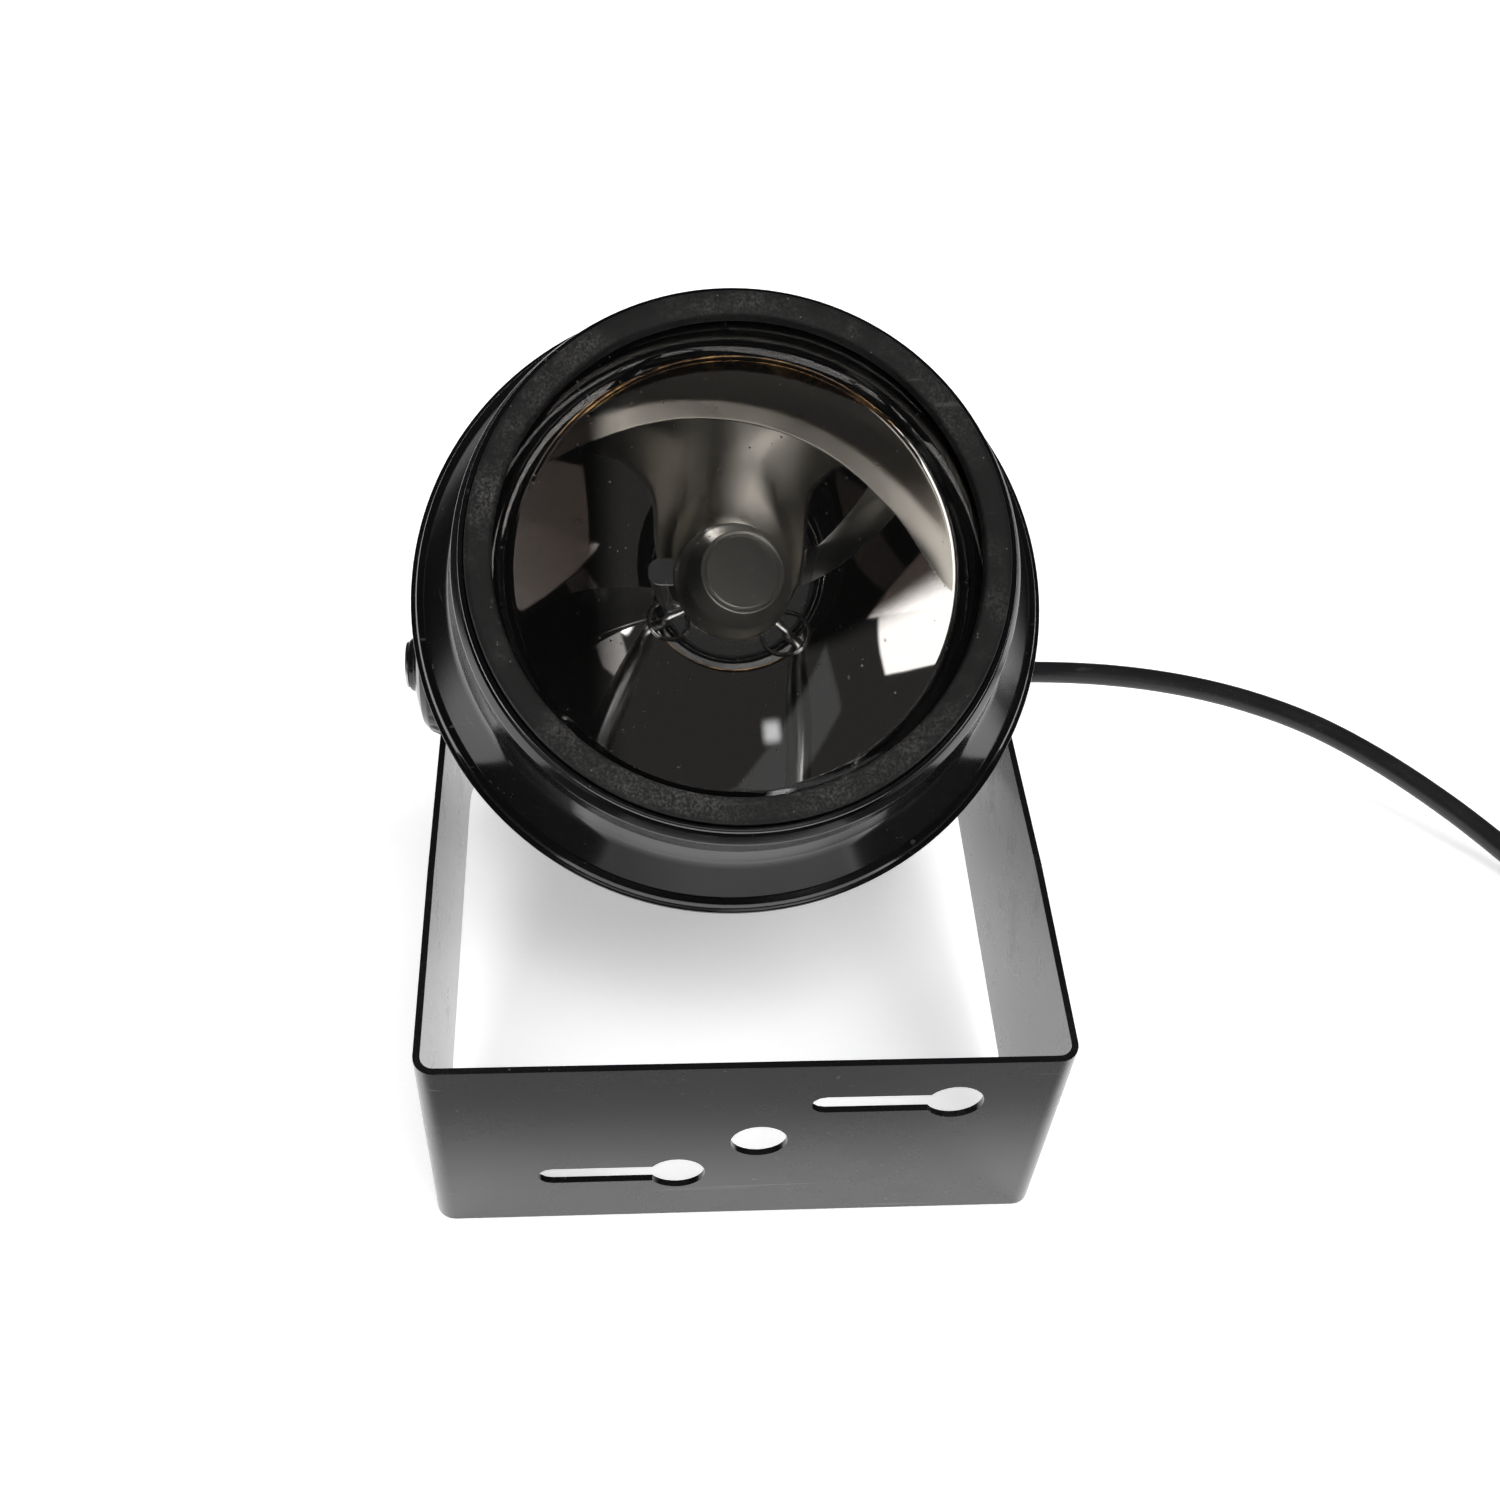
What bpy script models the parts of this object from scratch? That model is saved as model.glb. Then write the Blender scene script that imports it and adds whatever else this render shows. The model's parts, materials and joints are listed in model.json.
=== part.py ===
"""A pin spot stage light: a steel U bracket, a round head between its arms, two knobs and a mains cord.

Metres, +Z up, +X to the viewer's right, -Y towards the viewer. The bracket stands on the lower edge of its
base and the rounded back of the head rests on the table. The origin is on the table, under the middle of the
box round the bracket, the head and the knobs. The bracket is drawn in a frame whose Y runs along its arms,
from the outer face of its base, and whose Z runs up its base. The head is drawn in a frame on the pivot,
whose Z runs out of the opening. Inside the head, depths are measured back from the face of the gasket ring.
"""

import math

import bmesh
import bpy
from mathutils import Matrix, Vector

# Pose
YOKE_TILT = math.radians(13)
HEAD_TILT = math.radians(45.2)

# Clearances
FIT_GAP = 0.0003
OVERRUN = 0.002
WELD = 0.000001

# Roundness
RING_STEPS = 40
SMALL_STEPS = 24
SCREW_STEPS = 12
ARC_STEPS = 6
SHARP_ANGLE = math.radians(35)

# Yoke bracket, whose width follows from the head's
YOKE_STRIP = 0.0644
YOKE_SHEET = 0.0015
YOKE_BEND = 0.003
YOKE_ARM = 0.159
YOKE_KINK = 0.052
YOKE_END_RADIUS = 0.036
YOKE_FILLET = 0.020
PIVOT_HEIGHT = 0.0209
HOLE_DIAMETER = 0.0127
SLOT_WIDTH = 0.0064
SLOT_LENGTH = 0.0312
CENTRE_HOLE_SHARE = (0.024, 0.517)
KEYHOLE_SHARES = ((-0.104, 0.303), (0.322, 0.753))

# Sealed beam lamp
LAMP_RADIUS = 0.05715
LENS_GLASS = 0.003
LENS_CROWN = 0.005
REFLECTOR_EDGE = 0.00565
REFLECTOR_WALL = 0.004
REFLECTOR_SEAL = 0.0109
SEAL_FLARE = 0.0045
SEAL_FLARE_DEPTH = 0.0069
REFLECTOR_DEPTH = 0.059
REFLECTOR_GLASS = 0.003
REFLECTOR_RIM = 0.003
POST_SPREAD = 0.0145
POST_DROP = 0.0047
POST_TURN = math.radians(-7)
POST_RADIUS = 0.0012
POST_RISE = 0.0041
FILAMENT_LENGTH = 0.007
FILAMENT_RADIUS = 0.001
SHIELD_RADIUS = 0.0139
SHIELD_FACE_DEPTH = 0.0195
SHIELD_LENGTH = 0.0102
SHIELD_WALL = 0.0008
SHIELD_LEAN = math.radians(9)
LEG_REACH = 0.0058
LEG_WIDTH = 0.0064
LEG_SHEET = 0.001
LEG_CORNER = 0.0028
LEG_INSET = 0.002
FERRULE_RADIUS = 0.0045
FERRULE_LENGTH = 0.005
RETAINER_SHEET = 0.001
RETAINER_CLEARANCE = 0.0006

# Front cover, as steps out from the lamp's rim and depths behind the gasket's face
OPENING = 0.1208
LIP_STEP = 0.00335
LIP_DEPTH = 0.0028
NECK_STEP = 0.00685
NECK_START = 0.012
NECK_END = 0.020
SKIRT_STEP = 0.0092
SKIRT_DEPTH = 0.040
RIM_STEP = 0.0032
COVER_DEPTH = 0.047
COVER_WALL = 0.0012
COVER_FLANGE = 0.010
SHOULDER_SHARES = ((0, 0), (0.31, 0.13), (0.23, 0.28), (0.51, 0.41), (0.89, 0.67), (1, 1))
SHOULDER_INNER_SHARES = ((0, 0), (0, 0.2), (0.22, 0.43), (0.74, 0.7), (1, 1))
FLARE_SHARES = ((0, 0), (0.065, 0.2), (0.24, 0.45), (0.5, 0.675), (0.78, 0.85), (1, 1))
RIM_SHARES = ((0.375, 0.114), (0.625, 0.286), (0.62, 0.38), (0.875, 0.414), (1, 0.614), (1, 0.9), (0.81, 1))

# Gasket ring
GASKET_LAP = 0.00285
GASKET_LIP = 0.0045
GASKET_DEPTH = 0.0165
GASKET_EDGE = 0.0025
GASKET_SHOULDER = 0.0018

# Rear housing
HOUSING_CLEARANCE = 0.0024
HOUSING_SHEET = 0.0012
HOUSING_ROUND = 0.030
HOUSING_FLANGE_INSET = 0.0034
HOUSING_FLANGE_SHEET = 0.001
BOSS_RADIUS = 0.017
BOSS_RISE = 0.002
BOSS_THICKNESS = 0.006

# Screws
SCREW_RADIUS = 0.0015
SCREW_HEAD_RADIUS = 0.0028
SCREW_HEAD_HEIGHT = 0.0018
SCREW_REACH = 0.003
COVER_SCREWS = 3

# Pivot and knobs
STUD_RADIUS = 0.0039
STUD_REACH = 0.0032
STUD_CAP_RADIUS = 0.0066
STUD_CAP_HEIGHT = 0.0012
NUT_FLATS = 0.013
NUT_HEIGHT = 0.0065
PIVOT_WASHER_RADIUS = 0.015
PIVOT_WASHER_SHEET = 0.0019
KNOB_WASHER_RADIUS = 0.011
KNOB_WASHER_SHEET = 0.0012
KNOB_RADIUS = 0.020
KNOB_HEIGHT = 0.0134
KNOB_SHARES = ((1, 0.39), (0.945, 0.58), (0.845, 0.71), (0.675, 0.79), (0.395, 0.895), (0.36, 1))

# Transformer
BACK_CLEARANCE = 0.0027
CORE_HEIGHT = 0.037
CORE_STACK = 0.020
CORE_DROP = 0.012
STRAP_SHEET = 0.001
STRAP_WIDTH = 0.012
STRAP_FOOT = 0.008
LEAD_RADIUS = 0.0011

# Cord, its gland and its plug
CORD_RADIUS = 0.0035
GLAND_OFFSET = 0.014
GLAND_FLANGE_RADIUS = 0.0075
GLAND_FLANGE = 0.002
GLAND_NECK_RADIUS = 0.0057
RELIEF_LENGTH = 0.020
RELIEF_ROOT_RADIUS = 0.0062
RELIEF_TIP_RADIUS = 0.0044
MAINS_LEAD_RADIUS = 0.0025
CORD_STEP = 0.016
TURN_PITCH = 0.0076
COIL_RADIUS = 0.042
COIL_AWAY = (0.288, -0.0874)
COIL_ENTRY = math.radians(205)
COIL_TURNS = 6 - COIL_ENTRY / math.tau
COIL_POINTS = 24
ROUTE_POINTS = 24
COIL_TAIL = 0.036
TIE_SHEET = 0.0008
TIE_WIDTH = 0.006
TIE_ANGLE = math.radians(110)
TIE_GAP = 0.0005
PLUG_WIDTH = 0.028
PLUG_LENGTH = 0.052
PLUG_SHARES = (
    (0, 0.16, 0.18),
    (0.4, 0.23, 0.27),
    (0.46, 0.4, 0.4),
    (0.58, 0.5, 0.5),
    (0.96, 0.5, 0.5),
    (1, 0.46, 0.45),
)
PLUG_SQUARENESS = 4
PLUG_POINTS = 24
BLADE_WIDTH = 0.0063
BLADE_SHEET = 0.0015
BLADE_LENGTH = 0.017
BLADE_SPREAD = 0.0127
EARTH_PIN_RADIUS = 0.0024
EARTH_PIN_LENGTH = 0.020
EARTH_PIN_DROP = 0.0119
BLADE_RISE = 0.005

# The free stretch of cord, across and along from the strain relief's tip, and above the table
CORD_ROUTE = (
    (0.0038, 0.0124, 0.0147),
    (0.0140, 0.0197, 0.0078),
    (0.0280, 0.0222, 0.0055),
    (0.0500, 0.0199, 0.0070),
    (0.0745, 0.0124, 0.0120),
    (0.0987, 0.0035, 0.0180),
    (0.1195, -0.0025, 0.0205),
    (0.1394, -0.0095, 0.0215),
    (0.1581, -0.0195, 0.0220),
    (0.1758, -0.0326, 0.0215),
    (0.1919, -0.0476, 0.0190),
    (0.2071, -0.0643, 0.0150),
    (0.2207, -0.0794, 0.0095),
)

# Sizes that follow outward from the lamp
GASKET_BORE = LAMP_RADIUS - GASKET_LAP
REFLECTOR_RADIUS = LAMP_RADIUS - REFLECTOR_EDGE
RETAINER_BORE = LAMP_RADIUS + RETAINER_CLEARANCE
LIP_RADIUS = LAMP_RADIUS + LIP_STEP
NECK_RADIUS = LAMP_RADIUS + NECK_STEP
SKIRT_RADIUS = NECK_RADIUS + SKIRT_STEP
RIM_RADIUS = SKIRT_RADIUS + RIM_STEP
COVER_FLANGE_BORE = RIM_RADIUS - COVER_FLANGE
HOUSING_RADIUS = COVER_FLANGE_BORE - HOUSING_CLEARANCE
HOUSING_FLANGE_RADIUS = RIM_RADIUS - HOUSING_FLANGE_INSET
BOSS_FACE = HOUSING_RADIUS + BOSS_RISE
NUT_TOP = BOSS_FACE - BOSS_THICKNESS - FIT_GAP
STUD_INNER_END = NUT_TOP - NUT_HEIGHT - STUD_REACH
ARM_INNER = BOSS_FACE + PIVOT_WASHER_SHEET + 2 * FIT_GAP
YOKE_WIDTH = 2 * (ARM_INNER + YOKE_SHEET)

# Places that follow from the sizes
PIVOT_Y = YOKE_ARM * math.cos(YOKE_TILT) - PIVOT_HEIGHT * math.sin(YOKE_TILT)
PIVOT_Z = YOKE_ARM * math.sin(YOKE_TILT) + PIVOT_HEIGHT * math.cos(YOKE_TILT)
BACK_FLAT = HOUSING_RADIUS - HOUSING_ROUND
ROUND_DROP = (PIVOT_Z - HOUSING_ROUND - BACK_FLAT * math.sin(HEAD_TILT)) / math.cos(HEAD_TILT)
HOUSING_BACK = -HOUSING_ROUND - ROUND_DROP
FRONT_Y = -YOKE_STRIP * math.sin(YOKE_TILT)
BACK_Y = PIVOT_Y + ROUND_DROP * math.sin(HEAD_TILT) + BACK_FLAT * math.cos(HEAD_TILT) + HOUSING_ROUND
YOKE_PLACE = Vector((0, -(FRONT_Y + BACK_Y) / 2, 0))
STUD_BORE = STUD_RADIUS + FIT_GAP
SCREW_BORE = SCREW_RADIUS + FIT_GAP
COVER_BACK = OPENING - COVER_DEPTH
FLANGE_FRONT = COVER_BACK - FIT_GAP
FLANGE_MIDDLE = (COVER_FLANGE_BORE + HOUSING_FLANGE_RADIUS) / 2
NECK_BORE = NECK_RADIUS - COVER_WALL
LENS_RIM = OPENING - GASKET_LIP - FIT_GAP
REFLECTOR_FRONT = LENS_RIM - LENS_GLASS - FIT_GAP
REFLECTOR_VERTEX = OPENING - REFLECTOR_DEPTH
BOWL_TOP = REFLECTOR_FRONT - REFLECTOR_SEAL
FOCAL_LENGTH = REFLECTOR_RADIUS**2 / (4 * (BOWL_TOP - REFLECTOR_VERTEX))
FOCUS = REFLECTOR_VERTEX + FOCAL_LENGTH
POST_KNEE = REFLECTOR_VERTEX + POST_SPREAD**2 / (4 * FOCAL_LENGTH) + POST_RISE
FERRULE_BACKING = (POST_SPREAD - FERRULE_RADIUS) ** 2 / (4 * FOCAL_LENGTH)
FERRULE_FRONT = REFLECTOR_VERTEX - REFLECTOR_GLASS + FERRULE_BACKING - FIT_GAP
INNER_BACK = HOUSING_BACK + HOUSING_SHEET
CORE_FLOOR = INNER_BACK + FIT_GAP
CORE_WIDTH = 2 * (BACK_FLAT - BACK_CLEARANCE - STRAP_FOOT - STRAP_SHEET - FIT_GAP)
CORE_LEG = CORE_WIDTH / 6
COIL_TOP = CORE_FLOOR + CORE_HEIGHT - CORE_LEG - FIT_GAP
COIL_SIDE = CORE_STACK / 2 + CORE_LEG - FIT_GAP
STRAP_SIDE = CORE_WIDTH / 2 + FIT_GAP
KNOB_BASE = YOKE_WIDTH / 2 + KNOB_WASHER_SHEET + 2 * FIT_GAP
KNOB_TOP = KNOB_BASE + KNOB_HEIGHT
RELIEF_END = HOUSING_BACK - 2 * FIT_GAP - GLAND_FLANGE - RELIEF_LENGTH
RELIEF_Y = YOKE_PLACE.y + PIVOT_Y + GLAND_OFFSET * math.cos(HEAD_TILT) - RELIEF_END * math.sin(HEAD_TILT)
COIL_CENTRE = (GLAND_OFFSET + COIL_AWAY[0], RELIEF_Y + COIL_AWAY[1])
TURN_RISE = TURN_PITCH
COIL_FLOOR = TIE_SHEET + FIT_GAP + CORD_RADIUS
COIL_INNER = COIL_RADIUS - TURN_PITCH * COIL_TURNS / 4
COIL_OUTER = COIL_RADIUS + TURN_PITCH * COIL_TURNS / 4
PLUG_HEIGHT = 2 * (COIL_FLOOR + TURN_RISE)

SIDES = (("left", -1), ("right", 1))


def clear_scene():
    """Remove whatever the open file holds."""
    for thing in list(bpy.data.objects):
        bpy.data.objects.remove(thing)


def material(name, colour, roughness, metallic=0.0):
    """A surface with this base colour, roughness and metallic value."""
    made = bpy.data.materials.get(name) or bpy.data.materials.new(name)
    made.use_nodes = True
    surface = made.node_tree.nodes["Principled BSDF"]
    surface.inputs["Base Color"].default_value = (*colour, 1)
    surface.inputs["Roughness"].default_value = roughness
    surface.inputs["Metallic"].default_value = metallic
    return made


def black_paint():
    return material("black_paint", (0.012, 0.012, 0.013), 0.35)


def black_rubber():
    return material("black_rubber", (0.030, 0.028, 0.027), 0.85)


def lamp_glass():
    return material("lamp_glass", (0.80, 0.82, 0.82), 0.05)


def lamp_mirror():
    return material("lamp_mirror", (0.85, 0.85, 0.84), 0.08, 1.0)


def plated_steel():
    return material("plated_steel", (0.55, 0.55, 0.54), 0.30, 1.0)


def core_steel():
    return material("core_steel", (0.20, 0.20, 0.21), 0.50, 1.0)


def coil_tape():
    return material("coil_tape", (0.55, 0.38, 0.10), 0.50)


def knob_plastic():
    return material("knob_plastic", (0.010, 0.010, 0.011), 0.20)


def cord_plastic():
    return material("cord_plastic", (0.016, 0.016, 0.017), 0.45)


def lead_plastic():
    return material("lead_plastic", (0.60, 0.58, 0.55), 0.50)


def plug_brass():
    return material("plug_brass", (0.70, 0.55, 0.28), 0.30, 1.0)


def empty(name, parent=None, location=(0, 0, 0), turn=0.0):
    """A frame that pieces hang from, turned about X."""
    made = bpy.data.objects.new(name, None)
    bpy.context.collection.objects.link(made)
    made.parent = parent
    made.location = location
    made.rotation_euler = (turn, 0, 0)
    return made


def add(name, data, surface, parent, location=(0, 0, 0), rotation=(0, 0, 0)):
    """An object with this mesh or curve, in its parent's frame."""
    made = bpy.data.objects.new(name, data)
    bpy.context.collection.objects.link(made)
    made.parent = parent
    made.location = location
    made.rotation_euler = rotation
    if surface:
        data.materials.append(surface)
    return made


def finished(name, bm):
    """The mesh of a closed bmesh, its faces out, round sides smooth and edges sharp."""
    bmesh.ops.remove_doubles(bm, verts=bm.verts, dist=WELD)
    bmesh.ops.recalc_face_normals(bm, faces=bm.faces)
    mesh = bpy.data.meshes.new(name)
    bm.to_mesh(mesh)
    bm.free()
    mesh.shade_smooth()
    mesh.set_sharp_from_angle(angle=SHARP_ANGLE)
    return mesh


def turned(name, profile, steps=RING_STEPS, ring=True):
    """A solid turned about Z from (radius, height) points, closed as a ring or with both ends on the axis."""
    bm = bmesh.new()
    corners = [bm.verts.new((radius, 0, height)) for radius, height in profile]
    edges = [bm.edges.new(pair) for pair in zip(corners, corners[1:])]
    if ring:
        edges.append(bm.edges.new((corners[-1], corners[0])))
    bmesh.ops.spin(bm, geom=corners + edges, cent=(0, 0, 0), axis=(0, 0, 1), angle=math.tau, steps=steps)
    return finished(name, bm)


def cylinder(name, radius, bottom, top, steps=SMALL_STEPS):
    """A solid cylinder about Z."""
    return turned(name, ((0, bottom), (radius, bottom), (radius, top), (0, top)), steps, ring=False)


def washer(name, radius, bore, bottom, top, steps=SMALL_STEPS):
    """A flat ring about Z."""
    return turned(name, ((bore, bottom), (radius, bottom), (radius, top), (bore, top)), steps)


def prism(name, outline, axis, start, end):
    """A solid with an outline in the plane across X, Y or Z, from start to end along that axis."""
    places = {
        "X": lambda first, second: (start, first, second),
        "Y": lambda first, second: (first, start, second),
        "Z": lambda first, second: (first, second, start),
    }
    along = {"X": (end - start, 0, 0), "Y": (0, end - start, 0), "Z": (0, 0, end - start)}
    bm = bmesh.new()
    face = bm.faces.new([bm.verts.new(places[axis](first, second)) for first, second in outline])
    grown = bmesh.ops.extrude_face_region(bm, geom=[face])["geom"]
    moved = [item for item in grown if isinstance(item, bmesh.types.BMVert)]
    bmesh.ops.translate(bm, verts=moved, vec=along[axis])
    return finished(name, bm)


def box(name, low, high):
    """A block between two corners."""
    outline = ((low[0], low[1]), (high[0], low[1]), (high[0], high[1]), (low[0], high[1]))
    return prism(name, outline, "Z", low[2], high[2])


def lofted(name, sections):
    """A solid through closed sections of as many points each, with flat ends."""
    bm = bmesh.new()
    rings = [[bm.verts.new(point) for point in section] for section in sections]
    for first, second in zip(rings, rings[1:]):
        for index in range(len(first)):
            before = index - 1
            bm.faces.new((first[before], first[index], second[index], second[before]))
    bm.faces.new(rings[0])
    bm.faces.new(rings[-1])
    return finished(name, bm)


def tube(name, points, radius, surface, sides=8):
    """A round tube through points, its ends closed."""
    curve = bpy.data.curves.new(name, "CURVE")
    curve.dimensions = "3D"
    curve.bevel_depth = radius
    curve.bevel_resolution = sides // 2 - 2
    curve.use_fill_caps = True
    curve.resolution_u = 1
    curve.render_resolution_u = 0
    spline = curve.splines.new("POLY")
    spline.points.add(len(points) - 1)
    for place, point in zip(spline.points, points):
        place.co = (*point, 1)
    return add(name, curve, surface, None)


def cutter(name, data, parent, location=(0, 0, 0), rotation=(0, 0, 0)):
    """A hidden helper that a Boolean uses."""
    made = add(name, data, None, parent, location, rotation)
    made.hide_render = True
    made.display_type = "WIRE"
    return made


def combine(target, helper, operation):
    """Join, cut or trim the target with a helper."""
    modifier = target.modifiers.new(helper.name, "BOOLEAN")
    modifier.operation = operation
    modifier.object = helper


def arc(centre, radius, start, end, steps=ARC_STEPS):
    """Points on an arc between two angles, both ends included."""
    angles = [start + (end - start) * step / steps for step in range(steps + 1)]
    return [(centre[0] + radius * math.cos(angle), centre[1] + radius * math.sin(angle)) for angle in angles]


def along(start, end, shares):
    """Points at shares of the way between two corners, across and along."""
    wide, high = end[0] - start[0], end[1] - start[1]
    return [(start[0] + wide * across, start[1] + high * down) for across, down in shares]


def smooth_route(places, step):
    """Evenly spaced points on a smooth curve through the places, first and last included."""
    padded = [2 * places[0] - places[1], *places, 2 * places[-1] - places[-2]]
    fine = []
    for before, first, second, after in zip(padded, padded[1:], padded[2:], padded[3:]):
        for index in range(ROUTE_POINTS):
            share = index / ROUTE_POINTS
            pull = (second - before) / 2
            push = (after - first) / 2
            bend = 3 * (second - first) - 2 * pull - push
            twist = 2 * (first - second) + pull + push
            fine.append(first + pull * share + bend * share**2 + twist * share**3)
    fine.append(places[-1])
    lengths = [0.0]
    for first, second in zip(fine, fine[1:]):
        lengths.append(lengths[-1] + (second - first).length)
    count = math.ceil(lengths[-1] / step)
    route = []
    for index in range(count + 1):
        target = lengths[-1] * index / count
        upper = next(at for at, length in enumerate(lengths) if at and length >= target - WELD)
        share = (target - lengths[upper - 1]) / (lengths[upper] - lengths[upper - 1])
        route.append(fine[upper - 1].lerp(fine[upper], share))
    return route


def length_of(points):
    """The length of a line through points."""
    return sum((second - first).length for first, second in zip(points, points[1:]))


def make_yoke(yoke):
    """The bent strip: a U of sheet, trimmed to its side outline, then pierced."""
    outer, inner = YOKE_WIDTH / 2, ARM_INNER
    reach = YOKE_ARM + YOKE_END_RADIUS + OVERRUN
    corner = YOKE_BEND + YOKE_SHEET
    bend = outer - corner
    quarter = math.pi / 2
    outline = [(-outer, reach)]
    outline += arc((-bend, corner), corner, 2 * quarter, 3 * quarter)
    outline += arc((bend, corner), corner, 3 * quarter, 4 * quarter)
    outline += [(outer, reach), (inner, reach)]
    outline += arc((bend, corner), YOKE_BEND, 4 * quarter, 3 * quarter)
    outline += arc((-bend, corner), YOKE_BEND, 3 * quarter, 2 * quarter)
    outline += [(-inner, reach)]
    lowest = PIVOT_HEIGHT - YOKE_END_RADIUS - OVERRUN
    bracket = prism("yoke_bracket", outline, "Z", lowest, YOKE_STRIP + OVERRUN)
    bracket = add("yoke_bracket", bracket, black_paint(), yoke)
    side = prism("yoke_side_outline", side_outline(), "X", -outer - OVERRUN, outer + OVERRUN)
    combine(bracket, cutter("yoke_side_outline", side, yoke), "INTERSECT")
    for name, centre, length in base_holes():
        hole = prism(name, keyhole(centre, length), "Y", -OVERRUN, YOKE_SHEET + OVERRUN)
        combine(bracket, cutter(name, hole, yoke), "DIFFERENCE")
    bore = cylinder("yoke_pivot_bore", STUD_BORE, -outer - OVERRUN, outer + OVERRUN)
    place = (0, YOKE_ARM, PIVOT_HEIGHT)
    combine(bracket, cutter("yoke_pivot_bore", bore, yoke, place, (0, math.pi / 2, 0)), "DIFFERENCE")


def side_outline():
    """The bracket's side: a straight strip that narrows past a kink and ends round the pivot."""
    pivot = (YOKE_ARM, PIVOT_HEIGHT)
    rise = PIVOT_HEIGHT + YOKE_FILLET
    run = math.sqrt((YOKE_END_RADIUS + YOKE_FILLET) ** 2 - rise**2)
    meeting = math.atan2(rise, run)
    to_kink = (YOKE_KINK - pivot[0], YOKE_STRIP - pivot[1])
    tangent = math.atan2(to_kink[1], to_kink[0]) - math.acos(YOKE_END_RADIUS / math.hypot(*to_kink))
    points = [(-OVERRUN, YOKE_STRIP), (-OVERRUN, 0)]
    points += arc((YOKE_ARM - run, -YOKE_FILLET), YOKE_FILLET, math.pi / 2, meeting)
    points += arc(pivot, YOKE_END_RADIUS, meeting - math.pi, tangent, SMALL_STEPS)
    points += [(YOKE_KINK, YOKE_STRIP)]
    return points


def base_holes():
    """The round hole, then the two keyholes, as a name, the round part's centre and the slot's length."""
    share = CENTRE_HOLE_SHARE
    yield "centre_hole", (YOKE_WIDTH * share[0], YOKE_STRIP * share[1]), 0
    for number, share in enumerate(KEYHOLE_SHARES):
        yield f"keyhole_{number + 1}", (YOKE_WIDTH * share[0], YOKE_STRIP * share[1]), SLOT_LENGTH


def keyhole(centre, length):
    """A round hole, with a slot to its left that ends in a half circle where it has a length."""
    radius = HOLE_DIAMETER / 2
    if not length:
        return arc(centre, radius, 0, math.tau, SMALL_STEPS)[:-1]
    half = SLOT_WIDTH / 2
    opening = math.asin(half / radius)
    end = (centre[0] - length + half, centre[1])
    points = arc(centre, radius, opening - math.pi, math.pi - opening, SMALL_STEPS)
    return points + arc(end, half, math.pi / 2, 3 * math.pi / 2)


def shoulder_inner(gap=0.0):
    """The inside of the cover's shoulder, or the surface of what fits under it with a gap."""
    lip = (LIP_RADIUS - gap, OPENING - LIP_DEPTH - gap)
    neck = (NECK_BORE - gap, OPENING - NECK_START - gap)
    return along(lip, neck, SHOULDER_INNER_SHARES)


def make_front_cover(head):
    """The spun ring in front: beaded lip, neck, flared skirt, rolled rim and a flange behind."""
    lip = (LIP_RADIUS, OPENING - LIP_DEPTH)
    neck = (NECK_RADIUS, OPENING - NECK_START)
    flare = (NECK_RADIUS, OPENING - NECK_END)
    hem = (SKIRT_RADIUS, OPENING - SKIRT_DEPTH)
    rim = (RIM_RADIUS, COVER_BACK)
    skirt = along(flare, hem, FLARE_SHARES)
    outside = along(lip, neck, SHOULDER_SHARES) + skirt + along(hem, rim, RIM_SHARES)
    seat = RIM_RADIUS - COVER_WALL
    inside = [(COVER_FLANGE_BORE, COVER_BACK), (COVER_FLANGE_BORE, COVER_BACK + COVER_WALL)]
    inside += [(seat, COVER_BACK + COVER_WALL), (seat, COVER_BACK + 2 * COVER_WALL)]
    inside += [(radius - COVER_WALL, height) for radius, height in reversed(skirt)]
    inside += list(reversed(shoulder_inner()))[:-1]
    cover = add("front_cover", turned("front_cover", outside + inside), black_paint(), head)
    bore_for_screws(cover, head)
    return cover


def make_gasket(head):
    """The rubber ring that holds the lamp's rim and shows as the flat band round the opening."""
    edge = (GASKET_BORE + GASKET_EDGE, OPENING - GASKET_EDGE)
    bore_edge = arc(edge, GASKET_EDGE, math.pi / 2, math.pi, ARC_STEPS // 2)
    rim_bore = LAMP_RADIUS + FIT_GAP
    back = OPENING - GASKET_DEPTH
    outer = shoulder_inner(FIT_GAP)
    corner = (outer[0][0] - GASKET_SHOULDER, OPENING - GASKET_SHOULDER)
    shoulder = arc(corner, GASKET_SHOULDER, 0, math.pi / 2, ARC_STEPS // 2)
    profile = bore_edge + [(GASKET_BORE, OPENING - GASKET_LIP), (rim_bore, OPENING - GASKET_LIP)]
    profile += [(rim_bore, back), (outer[-1][0], back)] + list(reversed(outer)) + shoulder
    add("gasket_ring", turned("gasket_ring", profile), black_rubber(), head)


def lens_dome(radius):
    """The lens's outer surface, from its middle to the edge of its dome, as (radius, height) points."""
    sphere = (radius**2 + LENS_CROWN**2) / (2 * LENS_CROWN)
    centre = LENS_RIM + LENS_CROWN - sphere
    spread = math.asin(radius / sphere)
    return [(across, centre + up) for up, across in arc((0, 0), sphere, 0, spread)]


def make_lens(head):
    """The lamp's glass front: a shallow dome with a flat rim."""
    dome = lens_dome(GASKET_BORE - FIT_GAP)
    back = [(radius, height - LENS_GLASS) for radius, height in reversed(dome)]
    rim = [(LAMP_RADIUS, LENS_RIM), (LAMP_RADIUS, LENS_RIM - LENS_GLASS)]
    lens = turned("lamp_lens", dome + rim + back, ring=False)
    add("lamp_lens", lens, lamp_glass(), head)


def bowl(radius, vertex, steps=ARC_STEPS):
    """A parabola from its vertex out to a radius, with the lamp's focal length."""
    radii = [radius * step / steps for step in range(steps + 1)]
    return [(reach, vertex + reach**2 / (4 * FOCAL_LENGTH)) for reach in radii]


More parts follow.
